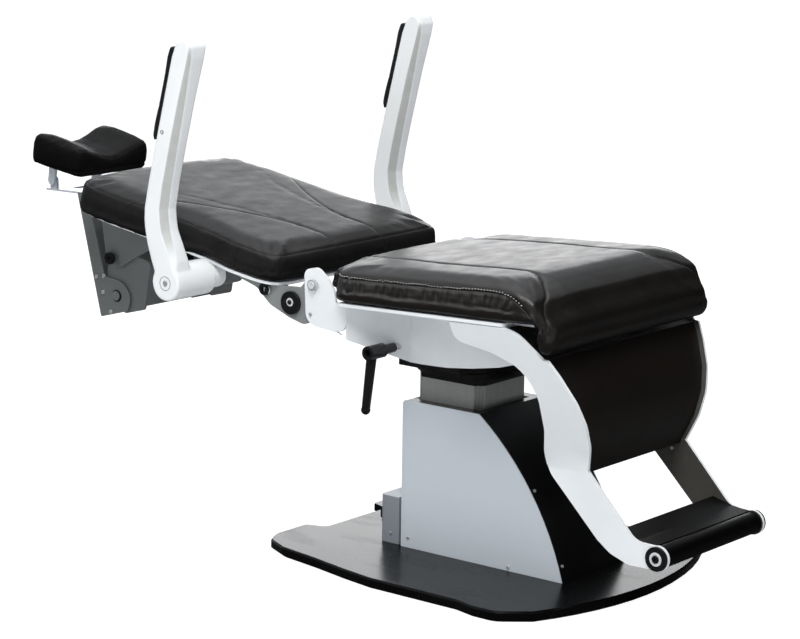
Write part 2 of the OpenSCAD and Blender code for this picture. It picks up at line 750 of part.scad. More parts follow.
seat_station_shares = [
  // along the cushion, half width, underside, top, how far the underside hangs down
  [0, 0.6, 0.36, 0.56, 0], [0.0036, 0.64, 0.25, 0.62, 0], [0.0143, 0.68, 0.12, 0.67, 0], [0.0412, 0.695, 0.08, 0.74, 0],
  [0.0591, 0.7, 0.05, 0.8, 0], [0.0717, 0.76, 0, 0.85, 0], [0.086, 0.8, 0, 0.87, 0], [0.1093, 0.82, 0, 0.885, 0],
  [0.1194, 0.86, 0, 0.89, 0], [0.1296, 0.92, 0, 0.893, 0], [0.1473, 0.965, 0, 0.9, 0], [0.1756, 0.992, 0, 0.905, 0],
  [0.2079, 1, 0, 0.91, 0], [0.2545, 1, 0, 0.925, 0], [0.3943, 1, 0, 0.945, 0], [0.534, 1, 0, 0.965, 0],
  [0.6738, 1, 0, 0.98, 0], [0.7857, 1, 0, 0.99, 0], [0.8444, 1, 0, 0.975, 0], [0.876, 0.996, 0, 0.9, 0],
  [0.9068, 0.985, 0, 0.79, 0], [0.9348, 0.97, 0, 0.66, 0], [0.9412, 0.962, 0, 0.62, 0.95], [0.9516, 0.953, 0, 0.51, 1],
  [0.9645, 0.94, 0, 0.35, 1], [0.9842, 0.91, 0, 0.17, 0.8], [0.9953, 0.875, 0, 0.06, 0.5], [1, 0.84, 0, -0.04, 0.22]];
seat_seam_shares = [0.456, 0.456, 0.456, 0.456, 0.456, 0.456, 0.456, 0.46, 0.465, 0.47, 0.48, 0.495, 0.51, 0.525, 0.55,
  0.555, 0.54, 0.565, 0.62, 0.665, 0.69, 0.7, 0.71, 0.72, 0.73, 0.74, 0.74, 0.74];
module seat_cushion() {
  long = cushion_front + cushion_rear;
  rings = [for (i = [0:len(seat_station_shares) - 1])
    let (s = seat_station_shares[i])
    let (low = pan_t + gap + s[2] * cushion_t - s[4] * (lip_drop + pan_t))
    pad_ring(cushion_rear - s[0] * long, s[1] * cushion_w / 2, low, pan_t + s[3] * cushion_t, seat_seam_shares[i])];
  color(leather_black) in_seat() loft(rings);
}

// Foot frame

// The plate's outline above the bend: reach in front of the column's axis and height above the bend,
// as shares of the tube's reach and of the height from the bend to the pan
arm_front_shares = [[-0.495, 1], [-0.55, 0.965], [-0.633, 0.825], [-0.652, 0.822], [-0.687, 0.705], [-0.73, 0.525],
  [-0.749, 0.36], [-0.745, 0.188], [-0.716, 0]];
arm_rear_shares = [[-0.548, 0], [-0.548, 0.1], [-0.571, 0.275], [-0.577, 0.54], [-0.55, 0.665], [-0.517, 0.745],
  [-0.425, 0.82], [-0.276, 0.87], [-0.27, 1]];
arm_high = pan_z - bend_z;
arm_upper_radii_shares = [0, 0.1, 0, 0, 0.15, 0.15, 0.15, 0.15, 0, 0, 0.15, 0.15, 0.15, 0.12, 0.1, 0.15, 0.04, 0];
module foot_arm_upper() {
  flat = scaled(concat(arm_front_shares, arm_rear_shares), tube_y, arm_high / cos(foot_lean));
  top_lift = tan(seat_tilt) / cos(foot_lean);
  pts = [for (p = flat) p.y > arm_high ? [p.x, p.y - p.x * top_lift - gap - foot_t * lean_tan] : p];
  translate([foot_x, 0, bend_z]) rotate([0, foot_lean, 0])
    yz_sheet(rounded(pts, arm_upper_radii_shares * tube_y), -foot_t, foot_t);
}
// The plate's outline below the bend, as shares of the tube's reach and of the bend's height above the tube
shin_shares = [[-0.716, 1], [-0.909, 0.18], [-0.985, 0.19]];
heel_shares = [[-0.886, -0.175], [-0.813, -0.07], [-0.761, 0.08], [-0.564, 0.88], [-0.548, 1]];
module foot_arm_lower() {
  rise = bend_z - tube_z;
  boss_r = cap_d / 2 + over;
  fold = foot_t * sin(foot_lean);
  shin = [for (s = shin_shares) [s.x * tube_y, tube_z + s.y * rise + (s.y < 1 ? 0 : fold)]];
  heel = [for (s = heel_shares) [s.x * tube_y, tube_z + s.y * rise + (s.y < 1 ? 0 : fold)]];
  pts = concat([shin[0], shin[1]], [for (a = [20:-20:-200]) [-tube_y + boss_r * sin(a), tube_z + boss_r * cos(a)]], heel);
  radii = concat([0, boss_r * 1.6], [for (a = [20:-20:-200]) 0], [boss_r, boss_r, boss_r * 1.4, boss_r * 2, 0]);
  yz_sheet(rounded(pts, radii), foot_x - foot_t, foot_t);
}
module foot_arm_body() {
  difference() {
    union() {
      foot_arm_upper();
      foot_arm_lower();
    }
    x_bar(tube_bolt_d + 2 * gap, foot_x - foot_t - over, foot_x + over, -tube_y, tube_z);
  }
  // Folded flange under the pan
  flange_x = foot_x + arm_high * lean_tan;
  in_seat() translate([flange_x - foot_t * 7, -tube_y * 0.49, -foot_t]) cube([foot_t * 6.4, tube_y * 0.215, foot_t - gap]);
}
tube_bolt_d = 10;
module foot_arm_left() {
  color(paint_white) foot_arm_body();
}
module foot_arm_right() {
  color(paint_white) mirror([1, 0, 0]) foot_arm_body();
}

panel_inset = 9;
module leg_panel() {
  rows = concat([[-0.52, 1.025]], [for (i = [1:len(arm_front_shares) - 1]) arm_front_shares[i]]);
  outer = [for (s = rows) [s.x * tube_y + panel_inset, bend_z + s.y * arm_high]];
  inner = [for (p = outer) [p.x + panel_t, p.y]];
  low = bend_z - panel_t * 1.5;
  toe = outer[len(outer) - 1].x;
  band = concat(outer, [[toe, low], [toe + panel_t, low]], [for (i = [len(inner) - 1:-1:0]) inner[i]]);
  half_low = foot_x - foot_t / cos(foot_lean) - gap;
  lift = outer[0].y - bend_z;
  wedge = [[-half_low, low - over], [half_low, low - over], [half_low, bend_z], [half_low + lift * lean_tan, outer[0].y],
    [-half_low - lift * lean_tan, outer[0].y], [-half_low, bend_z]];
  color(leather_black) intersection() {
    yz_sheet(band, -pan_w / 2, pan_w);
    xz_sheet(wedge, -tube_y, tube_y);
  }
}

plate_back_share = 0.838;
module foot_plate() {
  back = [-plate_back_share * tube_y, tube_z + 0.27 * (bend_z - tube_z)];
  nose = [-tube_y + tube_d * 0.2, tube_z + tube_d / 2 + gap];
  half = foot_x - foot_t - gap;
  top = [back, [-tube_y + tube_d * 1.1, tube_z + tube_d * 0.62], nose];
  bottom = [for (i = [2:-1:0]) [top[i].x + (i == 0 ? -panel_t : 0), top[i].y - (i == 2 ? 0 : panel_t * 1.3)]];
  lip = tube_d * 0.45;
  color(satin_black) difference() {
    yz_sheet(concat(top, [[nose.x, tube_z], [nose.x + tube_d, tube_z + tube_d * 0.3]],
      [[back.x - panel_t, back.y - panel_t], [back.x - panel_t, back.y - lip], [back.x, back.y - lip]]), -half, 2 * half);
    x_bar(tube_d + 2 * gap, -half - over, half + over, -tube_y, tube_z);
  }
}

module foot_tube() {
  half = foot_x - foot_t;
  color(rubber_black) difference() {
    x_bar(tube_d, -half, half, -tube_y, tube_z);
    x_bar(tube_bolt_d, -half - over, half + over, -tube_y, tube_z);
  }
}
cap_t = 5;
module foot_caps() {
  color(satin_black) both_sides() difference() {
    union() {
      x_bar(cap_d, foot_x, foot_x + cap_t, -tube_y, tube_z);
      x_bar(tube_bolt_d - 2 * run, foot_x - foot_t * 5, foot_x, -tube_y, tube_z);
    }
    x_bar(tube_bolt_d * 0.8, foot_x + cap_t * 0.3, foot_x + cap_t + over, -tube_y, tube_z);
  }
}

// Recline pins: a cap screw through the ear, the washer and the bracket on each side
pin_head_d = 20;
pin_head_t = 8;
washer_t = 2;
bracket_x = ear_x - side_t - washer_t - gap;
module recline_pins() {
  color(steel) both_sides() difference() {
    union() {
      x_bar(pivot_d, bracket_x - bracket_t - 2 * over, ear_x, pivot_y, pivot_z);
      x_bar(pin_head_d, ear_x, ear_x + pin_head_t, pivot_y, pivot_z);
    }
    translate([ear_x + pin_head_t / 3, pivot_y, pivot_z]) rotate([0, 90, 0]) cylinder(h = pin_head_t, d = pivot_d * 0.7, $fn = 6);
  }
}

module frame_screws() {
  // One cap screw at each ear's foot and two where each foot arm meets the pan
  y = pivot_seat_y + ear_side_r * 0.4;
  z = -belly_depth * 0.24;
  color(steel) both_sides() {
    in_seat() x_bar(ped_screw_r * 2, ear_x, ear_x + ped_screw_head, y, z);
    translate([foot_x - foot_t - ped_screw_head, -arm_front_shares[8].x * -tube_y + 3 * panel_inset, bend_z - 2 * panel_inset])
      rotate([0, 90, 0]) cylinder(h = ped_screw_head, r = ped_screw_r);
  }
}

// Lock lever

lever_hub_d = 26;
lever_hub_h = 42;
lever_neck_d = 17;
lever_seat_y = lever_y * cos(seat_tilt) - (lever_z - pan_z) * sin(seat_tilt);
lever_x = belly_x + gap
  + (lever_seat_y + lever_neck_d / 2 - belly_start_y) * (ear_x - belly_x) / (ear_bend_y - belly_start_y);
grip_lean = 7;
module lock_lever() {
  outer = -lever_x - hub_len;
  color(satin_black) {
    difference() {
      union() {
        x_bar(lever_neck_d, -lever_x - hub_len + lever_hub_h - over, -lever_x, lever_y, lever_z);
        x_bar(lever_hub_d, outer, outer + lever_hub_h, lever_y, lever_z);
      }
      x_bar(stud_d + 2 * run, outer + lever_hub_h / 2, -lever_x + over, lever_y, lever_z);
      x_bar(lever_hub_d * 0.55, outer - over, outer + lever_hub_h / 5, lever_y, lever_z);
    }
    // Tapered grip with a round end
    translate([outer + lever_hub_d / 2, lever_y, lever_z]) rotate([180 + grip_lean, 0, 0]) {
      translate([0, 0, lever_hub_d * 0.4]) cylinder(h = grip_len - lever_hub_d * 0.4, r1 = lever_hub_d * 0.36, r2 = lever_hub_d * 0.3);
      translate([0, 0, grip_len]) sphere(d = lever_hub_d * 0.66);
    }
  }
}
module lock_stud() {
  outer = -lever_x - hub_len;
  color(steel) x_bar(stud_d, outer + lever_hub_h / 2, -belly_x + side_t + brake_len * 0.7, lever_y, lever_z);
}

// Backrest

// Outline of the backrest: distance along the back as a share of its length, and half width as a share
// of the width at the seat end
back_half_shares = [[0, 0.8], [0.012, 0.9], [0.03, 0.955], [0.06, 0.985], [0.1, 1], [0.2, 1], [0.3, 0.955],
  [0.42, 0.935], [0.6, 0.935], [0.76, 0.94], [0.85, 0.925], [0.91, 0.89], [0.955, 0.81], [0.985, 0.69], [1, 0.5]];
back_len = back_end - back_start;
pan_edge_share = 0.965;
waist_share = back_waist_w / back_w;
function back_half(s) = s.y < 1 && s.x > 0.25 ? s.y / 0.935 * waist_share : s.y;
module back_pan() {
  right = [for (s = back_half_shares) [back_half(s) * back_w / 2 * pan_edge_share, back_start + panel_inset + s.x * (back_len - 2 * panel_inset)]];
  color(paint_white) in_back() translate([0, 0, -back_drop]) linear_extrude(back_pan_t) polygon(concat(right, flip(right)));
}

back_edge_shares = [0.6, 0.8, 0.92, 0.975, 1, 1, 1, 1, 1, 1, 1, 0.99, 0.95, 0.85, 0.6];
back_under_shares = [0.3, 0.1, 0.02, 0, 0, 0, 0, 0, 0, 0, 0, 0, 0.02, 0.1, 0.3];
back_seam_shares = [0.317, 0.3, 0.282, 0.266, 0.26, 0.254, 0.3, 0.37, 0.51, 0.74, 0.74, 0.74, 0.74, 0.74, 0.74];
back_seam_end = 9;
module back_cushion() {
  z0 = back_pan_t - back_drop;
  rings = [for (i = [0:len(back_half_shares) - 1])
    let (s = back_half_shares[len(back_half_shares) - 1 - i])
    let (k = len(back_half_shares) - 1 - i)
    pad_ring(back_start + s.x * back_len, back_half(s) * back_w / 2, z0 + gap + back_under_shares[k] * back_t,
      z0 + back_edge_shares[k] * back_t, back_seam_shares[k], k < back_seam_end ? seam_deep_share : 0)];
  color(leather_black) in_back() loft(rings);
}

// Bracket that hinges the back: distances from the recline axis along the back and square to it,
// as shares of the bracket's length and depth
bracket_len = 190;
bracket_deep = 84;
bracket_shares = [[0.97, -0.48], [0.73, -0.55], [0.54, -0.82], [0.285, -0.945], [0.08, -0.99], [-0.06, -0.72], [-0.12, 0]];
bracket_radius_shares = [0.03, 0.16, 0.21, 0.21, 0.13, 0.21, 0];
module bracket_body() {
  eye_r = pivot_d * 1.6;
  low = scaled(bracket_shares, bracket_len, bracket_deep);
  eye = [for (a = [180:-30:30]) eye_r * [cos(a), sin(a)]];
  top = [[back_start * 0.5, -back_drop * 0.6], [back_start + panel_inset * 1.5, -back_drop]];
  shape = concat(low, eye, top, [[bracket_len * 0.98, -back_drop]]);
  radii = concat(bracket_radius_shares * bracket_len, [for (p = eye) 0], [panel_inset, 0, 0]);
  in_back() {
    difference() {
      yz_sheet(rounded(shape, radii), bracket_x - bracket_t, bracket_t);
      x_bar(pivot_d + 2 * run, bracket_x - bracket_t - over, bracket_x + over, 0, 0);
    }
    // Foot of the bracket, flat against the pan
    translate([bracket_x - bracket_t * 5, back_start + panel_inset * 2, -back_drop - bracket_t])
      cube([bracket_t * 4 + over, bracket_len * 0.98 - back_start - panel_inset * 2, bracket_t]);
  }
}
module back_bracket_left() {
  color(bracket_grey) bracket_body();
}
module back_bracket_right() {
  color(bracket_grey) mirror([1, 0, 0]) bracket_body();
}
module recline_washers() {
  color(bronze) both_sides() in_back() difference() {
    x_bar(pivot_d * 2.4, bracket_x, bracket_x + washer_t, 0, 0);
    x_bar(pivot_d + 2 * run, bracket_x - over, bracket_x + washer_t + over, 0, 0);
  }
}
buffer_t = 7;
buffer_shares = [[0.27, -0.6], [0.62, -0.515]];
buffer_sizes = [1, 0.54];
module recline_buffers() {
  color(satin_black) both_sides() in_back() for (i = [0, 1]) difference() {
    x_bar(buffer_d * buffer_sizes[i], bracket_x, bracket_x + buffer_t * (0.5 + buffer_sizes[i] / 2),
      buffer_shares[i].x * bracket_len, buffer_shares[i].y * bracket_deep);
    x_bar(buffer_d * 0.2, bracket_x + buffer_t * 0.4, bracket_x + buffer_t + over,
      buffer_shares[i].x * bracket_len, buffer_shares[i].y * bracket_deep);
  }
}

// Armrests

mount_in = 163;
mount_out = 214;
mount_d = 46;
hub_in = 252;
collar_out_d = 49;
module arm_mounts() {
  saddle = mount_out - mount_in;
  color(bracket_grey) both_sides() in_back() difference() {
    union() {
      x_bar(mount_d, mount_in, mount_out, hub_y, -hub_drop);
      translate([mount_in, hub_y - mount_d / 2, -hub_drop]) cube([saddle, mount_d, hub_drop - back_drop]);
    }
    x_bar(axle_d + 2 * run, mount_in + saddle / 4, mount_out + over, hub_y, -hub_drop);
  }
}
module arm_axles() {
  color(steel) both_sides() in_back()
    x_bar(axle_d, mount_in + (mount_out - mount_in) / 4, arm_span / 2 - hub_d / 4, hub_y, -hub_drop);
}

// The armrest's front and rear edges: offset and height from its axis, as shares of its height
arm_shares = [
  // height, front edge, head-side edge
  [0.03, -0.056, 0.06], [0.09, -0.05, 0.084], [0.15, -0.03, 0.104], [0.21, -0.006, 0.117], [0.25, 0.002, 0.121], [0.3, 0.006, 0.119],
  [0.4, -0.012, 0.098], [0.54, -0.044, 0.064], [0.75, -0.093, 0.011], [0.92, -0.134, -0.032], [0.965, -0.139, -0.05],
  [0.99, -0.126, -0.068], [1, -0.108, -0.086]];
arm_bevel_shares = [0.3, 0.6, 0.85, 1, 1, 1, 1, 0.95, 0.8, 0.5, 0.35, 0.25, 0.2];
function arm_ring(x0, i) =
  let (s = arm_shares[i])
  let (z = s[0] * arm_len)
  let (f = s[1] * arm_len)
  let (h = s[2] * arm_len)
  let (c = arm_bevel_shares[i] * arm_bevel)
  let (e = arm_bevel / 4)
  [[x0 + c, f, z], [x0 + arm_w - c, f, z], [x0 + arm_w, f + c, z], [x0 + arm_w, h - e, z], [x0 + arm_w - e, h, z],
   [x0 + e, h, z], [x0, h - e, z], [x0, f + c, z]];
module armrest_body() {
  x1 = arm_span / 2;
  translate([0, hub_world_y, hub_world_z]) difference() {
    union() {
      loft([for (i = [0:len(arm_shares) - 1]) arm_ring(x1 - arm_w, i)]);
      x_bar(hub_d, hub_in, x1, 0, 0);
      x_bar(collar_out_d, mount_out + gap, hub_in, 0, 0);
    }
    x_bar(axle_d + 2 * run, mount_out - over, x1 - hub_d / 4 + gap, 0, 0);
    // Ring groove round the end screw
    difference() {
      x_bar(hub_d * 0.42, x1 - over, x1 + over, 0, 0);
      x_bar(hub_d * 0.38, x1 - 2 * over, x1 + 2 * over, 0, 0);
    }
    translate([x1 - 4 * over, 0, 0]) rotate([0, 90, 0]) cylinder(h = 5 * over, d = hub_d * 0.13, $fn = 6);
  }
}
module armrest_left() {
  color(paint_white) armrest_body();
}
module armrest_right() {
  color(paint_white) mirror([1, 0, 0]) armrest_body();
}
function arm_pad_ring(h, y, out, x0) =
  [[x0, y, h], [x0 + arm_w, y, h], [x0 + arm_w, y + out * 0.6, h], [x0 + arm_w * 0.85, y + out, h],
   [x0 + arm_w * 0.15, y + out, h], [x0, y + out * 0.6, h]];
arm_pad_shares = [
  // height, seat on the armrest's head-side edge, how far the pad stands out
  [0.575, 0.056, 0.35], [0.6, 0.05, 0.95], [0.65, 0.0375, 1], [0.75, 0.011, 1], [0.83, -0.0095, 1], [0.92, -0.032, 1],
  [0.95, -0.0435, 1], [0.965, -0.05, 0.95]];
module arm_pad_body() {
  x0 = arm_span / 2 - arm_w;
  translate([0, hub_world_y + gap, hub_world_z])
    loft([for (s = arm_pad_shares) arm_pad_ring(s[0] * arm_len, s[1] * arm_len, s[2] * arm_pad_t, x0)]);
}
module arm_pad_left() {
  color(leather_black) arm_pad_body();
}
module arm_pad_right() {
  color(leather_black) mirror([1, 0, 0]) arm_pad_body();
}

// Headrest: two ribs under the back carry a link, and the link carries the arm of the headrest

head_x = head_w / 2;
link_x = head_x - head_sheet - 2;
head_knob_d = 24;
head_pin_d = 10;
rib_reach = 632;
rib_deep = 148;
rib_shares = [[0.63, -0.19], [1, -0.19], [1, -0.41], [0.965, -0.9], [0.905, -1], [0.847, -0.79], [0.8, -0.64], [0.72, -0.4]];
rib_radius_shares = [0, 0, 0, 0.11, 0.11, 0.2, 0.2, 0.27];
link_top = [590, -131];
link_low = [569, -204];
module head_ribs() {
  color(bracket_grey) both_sides() in_back() {
    difference() {
      yz_sheet(rounded(scaled(rib_shares, rib_reach, rib_deep), rib_radius_shares * rib_deep), head_x - head_sheet, head_sheet);
      x_bar(head_pin_d + 2 * run, head_x - head_sheet - over, head_x + over, link_top.x, link_top.y);
    }
    translate([head_x - head_sheet * 5, rib_reach * 0.64, -back_drop - head_sheet])
      cube([head_sheet * 4 + over, rib_reach * 0.34, head_sheet]);
  }
}

link_shares = [[-0.16, 0.26], [-1.3, 0.2], [-1.28, -1.12], [-0.6, -1.42], [0.18, -1.2], [0.24, 0]];
link_size = 73;
link_radius_shares = [0.22, 0.14, 0.11, 0.16, 0.3, 0.19];
module headrest_link() {
  pts = [for (s = link_shares) link_top + s * link_size];
  wall = head_sheet;
  radii = link_radius_shares * link_size;
  color(bracket_grey) in_back() {
    both_sides() difference() {
      yz_sheet(rounded(pts, radii), link_x - wall, wall);
      x_bar(head_pin_d + 2 * run, link_x - wall - over, link_x + over, link_low.x, link_low.y);
    }
    // Web that joins the two plates
    translate([-link_x + wall / 2, pts[1].x, pts[2].y + radii[2]])
      cube([2 * link_x - wall, wall, pts[1].y - pts[2].y - radii[1] - radii[2]]);
    // Upper pins with their caps, in the ribs
    both_sides() {
      x_bar(head_pin_d, link_x - wall, head_x, link_top.x, link_top.y);
      x_bar(head_knob_d, head_x + gap, head_x + head_sheet * 1.5, link_top.x, link_top.y);
      x_bar(head_pin_d, head_x, head_x + head_sheet, link_top.x, link_top.y);
      x_bar(head_pin_d * 1.8, link_x, head_x - head_sheet - gap, link_top.x, link_top.y);
    }
  }
}

arm_plate_shares = [[0, 0], [-0.44, -1], [-0.735, -0.865], [-0.76, -0.73], [-0.64, -0.63], [-0.425, -0.64], [-0.186, -0.135], [-0.13, 0.02]];
arm_plate_size = [230, 230];
arm_plate_top = [706, -28];
arm_plate_radius_shares = [0.017, 0.017, 0.043, 0.13, 0.13, 0.05, 0, 0.017];
module headrest_arm() {
  pts = [for (s = arm_plate_shares) arm_plate_top + [s.x * arm_plate_size.x, s.y * arm_plate_size.y]];
  color(bracket_grey) in_back() {
    both_sides() {
      difference() {
        yz_sheet(rounded(pts, arm_plate_radius_shares * arm_plate_size.x), head_x - head_sheet, head_sheet);
        x_bar(head_pin_d + 2 * run, head_x - head_sheet - over, head_x + over, link_low.x, link_low.y);
      }
      x_bar(head_pin_d, link_x - head_sheet, head_x + head_sheet, link_low.x, link_low.y);
      x_bar(head_knob_d * 0.75, head_x, head_x + head_sheet, link_low.x, link_low.y);
      x_bar(head_pin_d * 1.8, link_x + gap, head_x - head_sheet, link_low.x, link_low.y);
    }
    // Back plate that joins the two arms along their outer edges
    edge = pts[0] - pts[1];
    translate([-head_x + head_sheet / 2, pts[1].x, pts[1].y]) rotate([-atan2(edge.x, edge.y), 0, 0])
      translate([0, -head_sheet, head_sheet]) cube([2 * head_x - head_sheet, head_sheet, norm(edge) - 2 * head_sheet]);
  }
}

bar_slope = -10;
bar_drop = 11;
bar_w = 140;
bar_len = 155;
bar_flange = 42;
lug_x = 62;
lug_t = 6;
lug_r = 9;
tilt_pin_d = 8;
tilt_rise = 16;
arm_edge = arm_plate_shares[0] - arm_plate_shares[1];
bar_at = arm_plate_top - bar_drop * [arm_edge.x / arm_edge.y, 1];
tilt_at = [bar_len - lug_r - tilt_pin_d / 2, tilt_rise];
function lug_outline(at, base, side) =
  concat([[at.x + side * lug_r, at.y + base], [at.x - side * lug_r, at.y + base]],
    [for (i = [0:8]) at + side * lug_r * [-cos(i * 22.5), sin(i * 22.5)]]);
// Section of the bar: a flange down the back of the arms, then the plate with the lugs
bar_down = -unit(arm_edge);
bar_in = [-bar_down.y, bar_down.x];
bar_out = [cos(bar_slope), sin(bar_slope)];
bar_up = [-bar_out.y, bar_out.x];
bar_section = [[0, 0], bar_flange * bar_down, bar_flange * bar_down + head_sheet * bar_in,
  head_sheet * (bar_in - bar_up) / (1 - bar_in * bar_up), bar_len * bar_out - head_sheet * bar_up, bar_len * bar_out];
module headrest_bar() {
  color(steel) in_back() translate([0, bar_at.x, bar_at.y]) {
    difference() {
      yz_sheet(bar_section, -bar_w / 2, bar_w);
      rotate([bar_slope, 0, 0]) translate([-bar_w / 4, bar_len * 0.25, -head_sheet - over])
        cube([bar_w / 2, bar_len * 0.5, head_sheet + 2 * over]);
    }
    rotate([bar_slope, 0, 0]) both_sides() difference() {
      yz_sheet(lug_outline(tilt_at, -tilt_rise - head_sheet / 2, 1), lug_x - lug_t, lug_t);
      x_bar(tilt_pin_d + 2 * run, lug_x - lug_t - over, lug_x + over, tilt_at.x, tilt_at.y);
    }
  }
}
// Place of the tilt axis, along the back and square to it, then in the chair's frame
tilt_back = bar_at + [tilt_at.x * cos(bar_slope) - tilt_at.y * sin(bar_slope),
  tilt_at.x * sin(bar_slope) + tilt_at.y * cos(bar_slope)];
rest_pivot_y = pivot_y + tilt_back.x * cos(back_tilt) - tilt_back.y * sin(back_tilt);
rest_pivot_z = pivot_z + tilt_back.x * sin(back_tilt) + tilt_back.y * cos(back_tilt);
rest_slope = 8;
rest_lift = 32;
rest_shift = -36;
module in_headrest() {
  translate([0, rest_pivot_y, rest_pivot_z]) rotate([rest_slope, 0, 0]) children();
}
rest_plate_t = 4;
module headrest_bracket() {
  x = lug_x + gap;
  color(steel) in_headrest() {
    translate([-x - lug_t, rest_shift - rest_d * 0.24, rest_lift - rest_plate_t]) cube([2 * (x + lug_t), rest_d * 0.6, rest_plate_t]);
    both_sides() yz_sheet(lug_outline([0, 0], rest_lift - rest_plate_t, -1), x, lug_t);
    both_sides() x_bar(tilt_pin_d, lug_x - lug_t - gap, x, 0, 0);
  }
}

rest_station_shares = [
  // along the width, depth, underside, top between the dip and the lobes
  [-1, 0.62, 0.36, 0.72], [-0.975, 0.8, 0.14, 0.9], [-0.93, 0.92, 0.03, 0.98], [-0.84, 0.98, 0, 1], [-0.68, 1, 0, 0.86],
  [-0.45, 1, 0, 0.46], [-0.22, 1, 0, 0.13], [0, 1, 0, 0]];
function rest_ring(s, sign) =
  let (half = rest_d / 2 * s[1])
  let (top = s[0] > -0.99 && s[0] < -0.9 || s[0] <= -0.99 ? s[3] * rest_t : rest_dip_t + s[3] * (rest_t - rest_dip_t))
  let (low = s[2] * rest_t)
  [for (p = rest_loop_shares) [sign * s[0] * rest_w / 2, p.x * half, low + p.y * (top - low)]];
rest_loop_shares = [[-0.9, 0], [0, 0], [0.9, 0], [0.97, 0.12], [1, 0.4], [0.99, 0.68], [0.93, 0.88], [0.8, 0.975], [0.4, 1],
  [0, 0.985], [-0.4, 0.95], [-0.8, 0.88], [-0.93, 0.78], [-0.99, 0.6], [-1, 0.36], [-0.97, 0.1]];
module headrest_cushion() {
  count = len(rest_station_shares);
  rings = concat([for (s = rest_station_shares) rest_ring(s, 1)],
    [for (i = [count - 2:-1:0]) rest_ring(rest_station_shares[i], -1)]);
  color(leather_black) in_headrest() translate([0, rest_shift, rest_lift + gap]) loft(rings);
}

base_mat();
base_plate();
pedestal_side_right();
pedestal_side_left();
pedestal_front();
pedestal_rear();
pedestal_top();
column_foot();
column_outer();
glide_pads();
lift_motor();
lift_spindle();
power_box();
power_inlet();
cover_screws();
power_switch();
column_inner();
lift_nut();
column_top_plate();
swivel_base_ring();
thrust_washer();
swivel_ring();
swivel_bush();
turntable_plate();
frame_side_right();
frame_side_left();
frame_front_beam();
frame_rear_beam();
brake_block();
seat_pan();
seat_cushion();
foot_arm_right();
foot_arm_left();
leg_panel();
foot_plate();
foot_tube();
foot_caps();
recline_pins();
frame_screws();
lock_lever();
lock_stud();
back_pan();
back_bracket_right();
back_bracket_left();
recline_washers();
recline_buffers();
back_cushion();
arm_mounts();
arm_axles();
head_ribs();
armrest_right();
arm_pad_right();
armrest_left();
arm_pad_left();
headrest_link();
headrest_arm();
headrest_bar();
headrest_bracket();
headrest_cushion();
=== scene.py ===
import math

import bpy
import numpy as np
from mathutils import Matrix, Vector, kdtree
from mathutils.bvhtree import BVHTree


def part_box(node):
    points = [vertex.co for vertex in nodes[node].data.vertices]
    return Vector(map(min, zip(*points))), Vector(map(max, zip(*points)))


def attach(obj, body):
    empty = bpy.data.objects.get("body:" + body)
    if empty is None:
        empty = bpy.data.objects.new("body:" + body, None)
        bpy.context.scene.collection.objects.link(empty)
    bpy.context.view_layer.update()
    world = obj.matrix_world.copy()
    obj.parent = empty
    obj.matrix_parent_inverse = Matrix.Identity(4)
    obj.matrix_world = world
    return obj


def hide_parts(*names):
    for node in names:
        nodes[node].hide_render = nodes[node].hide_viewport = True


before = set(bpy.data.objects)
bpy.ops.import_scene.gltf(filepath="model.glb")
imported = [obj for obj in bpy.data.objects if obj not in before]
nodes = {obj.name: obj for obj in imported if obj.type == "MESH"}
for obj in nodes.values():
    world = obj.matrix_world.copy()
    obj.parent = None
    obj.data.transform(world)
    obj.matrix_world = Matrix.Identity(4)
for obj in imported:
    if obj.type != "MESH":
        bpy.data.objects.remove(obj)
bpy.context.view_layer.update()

scene = bpy.context.scene
scene.view_settings.view_transform = "Standard"
mergeGap = 0.00001


# Small helpers for selecting and finishing objects
def selectOnly(piece):
    if bpy.context.mode != "OBJECT":
        bpy.ops.object.mode_set(mode="OBJECT")
    bpy.ops.object.select_all(action="DESELECT")
    piece.select_set(True)
    bpy.context.view_layer.objects.active = piece


def applyModifier(piece, kind, **settings):
    selectOnly(piece)
    modifier = piece.modifiers.new(kind.lower(), kind)
    for key, value in settings.items():
        setattr(modifier, key, value)
    bpy.ops.object.modifier_apply(modifier=modifier.name)


def settle(piece):
    selectOnly(piece)
    bpy.ops.object.transform_apply(location=True, rotation=True, scale=True)


def surfaceOf(piece):
    return BVHTree.FromObject(piece, bpy.context.evaluated_depsgraph_get())


def mergedCopy(node, name):
    # the node's mesh as a new piece, with its points merged and its own normals
    piece = bpy.data.objects.new(name, nodes[node].data.copy())
    scene.collection.objects.link(piece)
    selectOnly(piece)
    bpy.ops.object.mode_set(mode="EDIT")
    bpy.ops.mesh.select_all(action="SELECT")
    bpy.ops.mesh.remove_doubles(threshold=mergeGap)
    bpy.ops.mesh.normals_make_consistent(inside=False)
    bpy.ops.object.mode_set(mode="OBJECT")
    bpy.ops.mesh.customdata_custom_splitnormals_clear()
    return piece


def tone(red, green, blue):
    # a colour as seen on the screen, 0 to 255, turned into light values
    parts = [value / 255 for value in (red, green, blue)]
    return tuple(p / 12.92 if p <= 0.04045 else ((p + 0.055) / 1.055) ** 2.4 for p in parts) + (1.0,)


def scaled(colour, factor, lift=0.0):
    # the colour made darker or paler, kept under 1
    return tuple(min(1, c * factor + lift) for c in colour[:3]) + (1,)


# Camera at the photograph's place
view = {"place": (-3.995, -2.992, 1.449), "turn": -51.618, "height": 11.392, "roll": 0.84, "lens": 124.67}


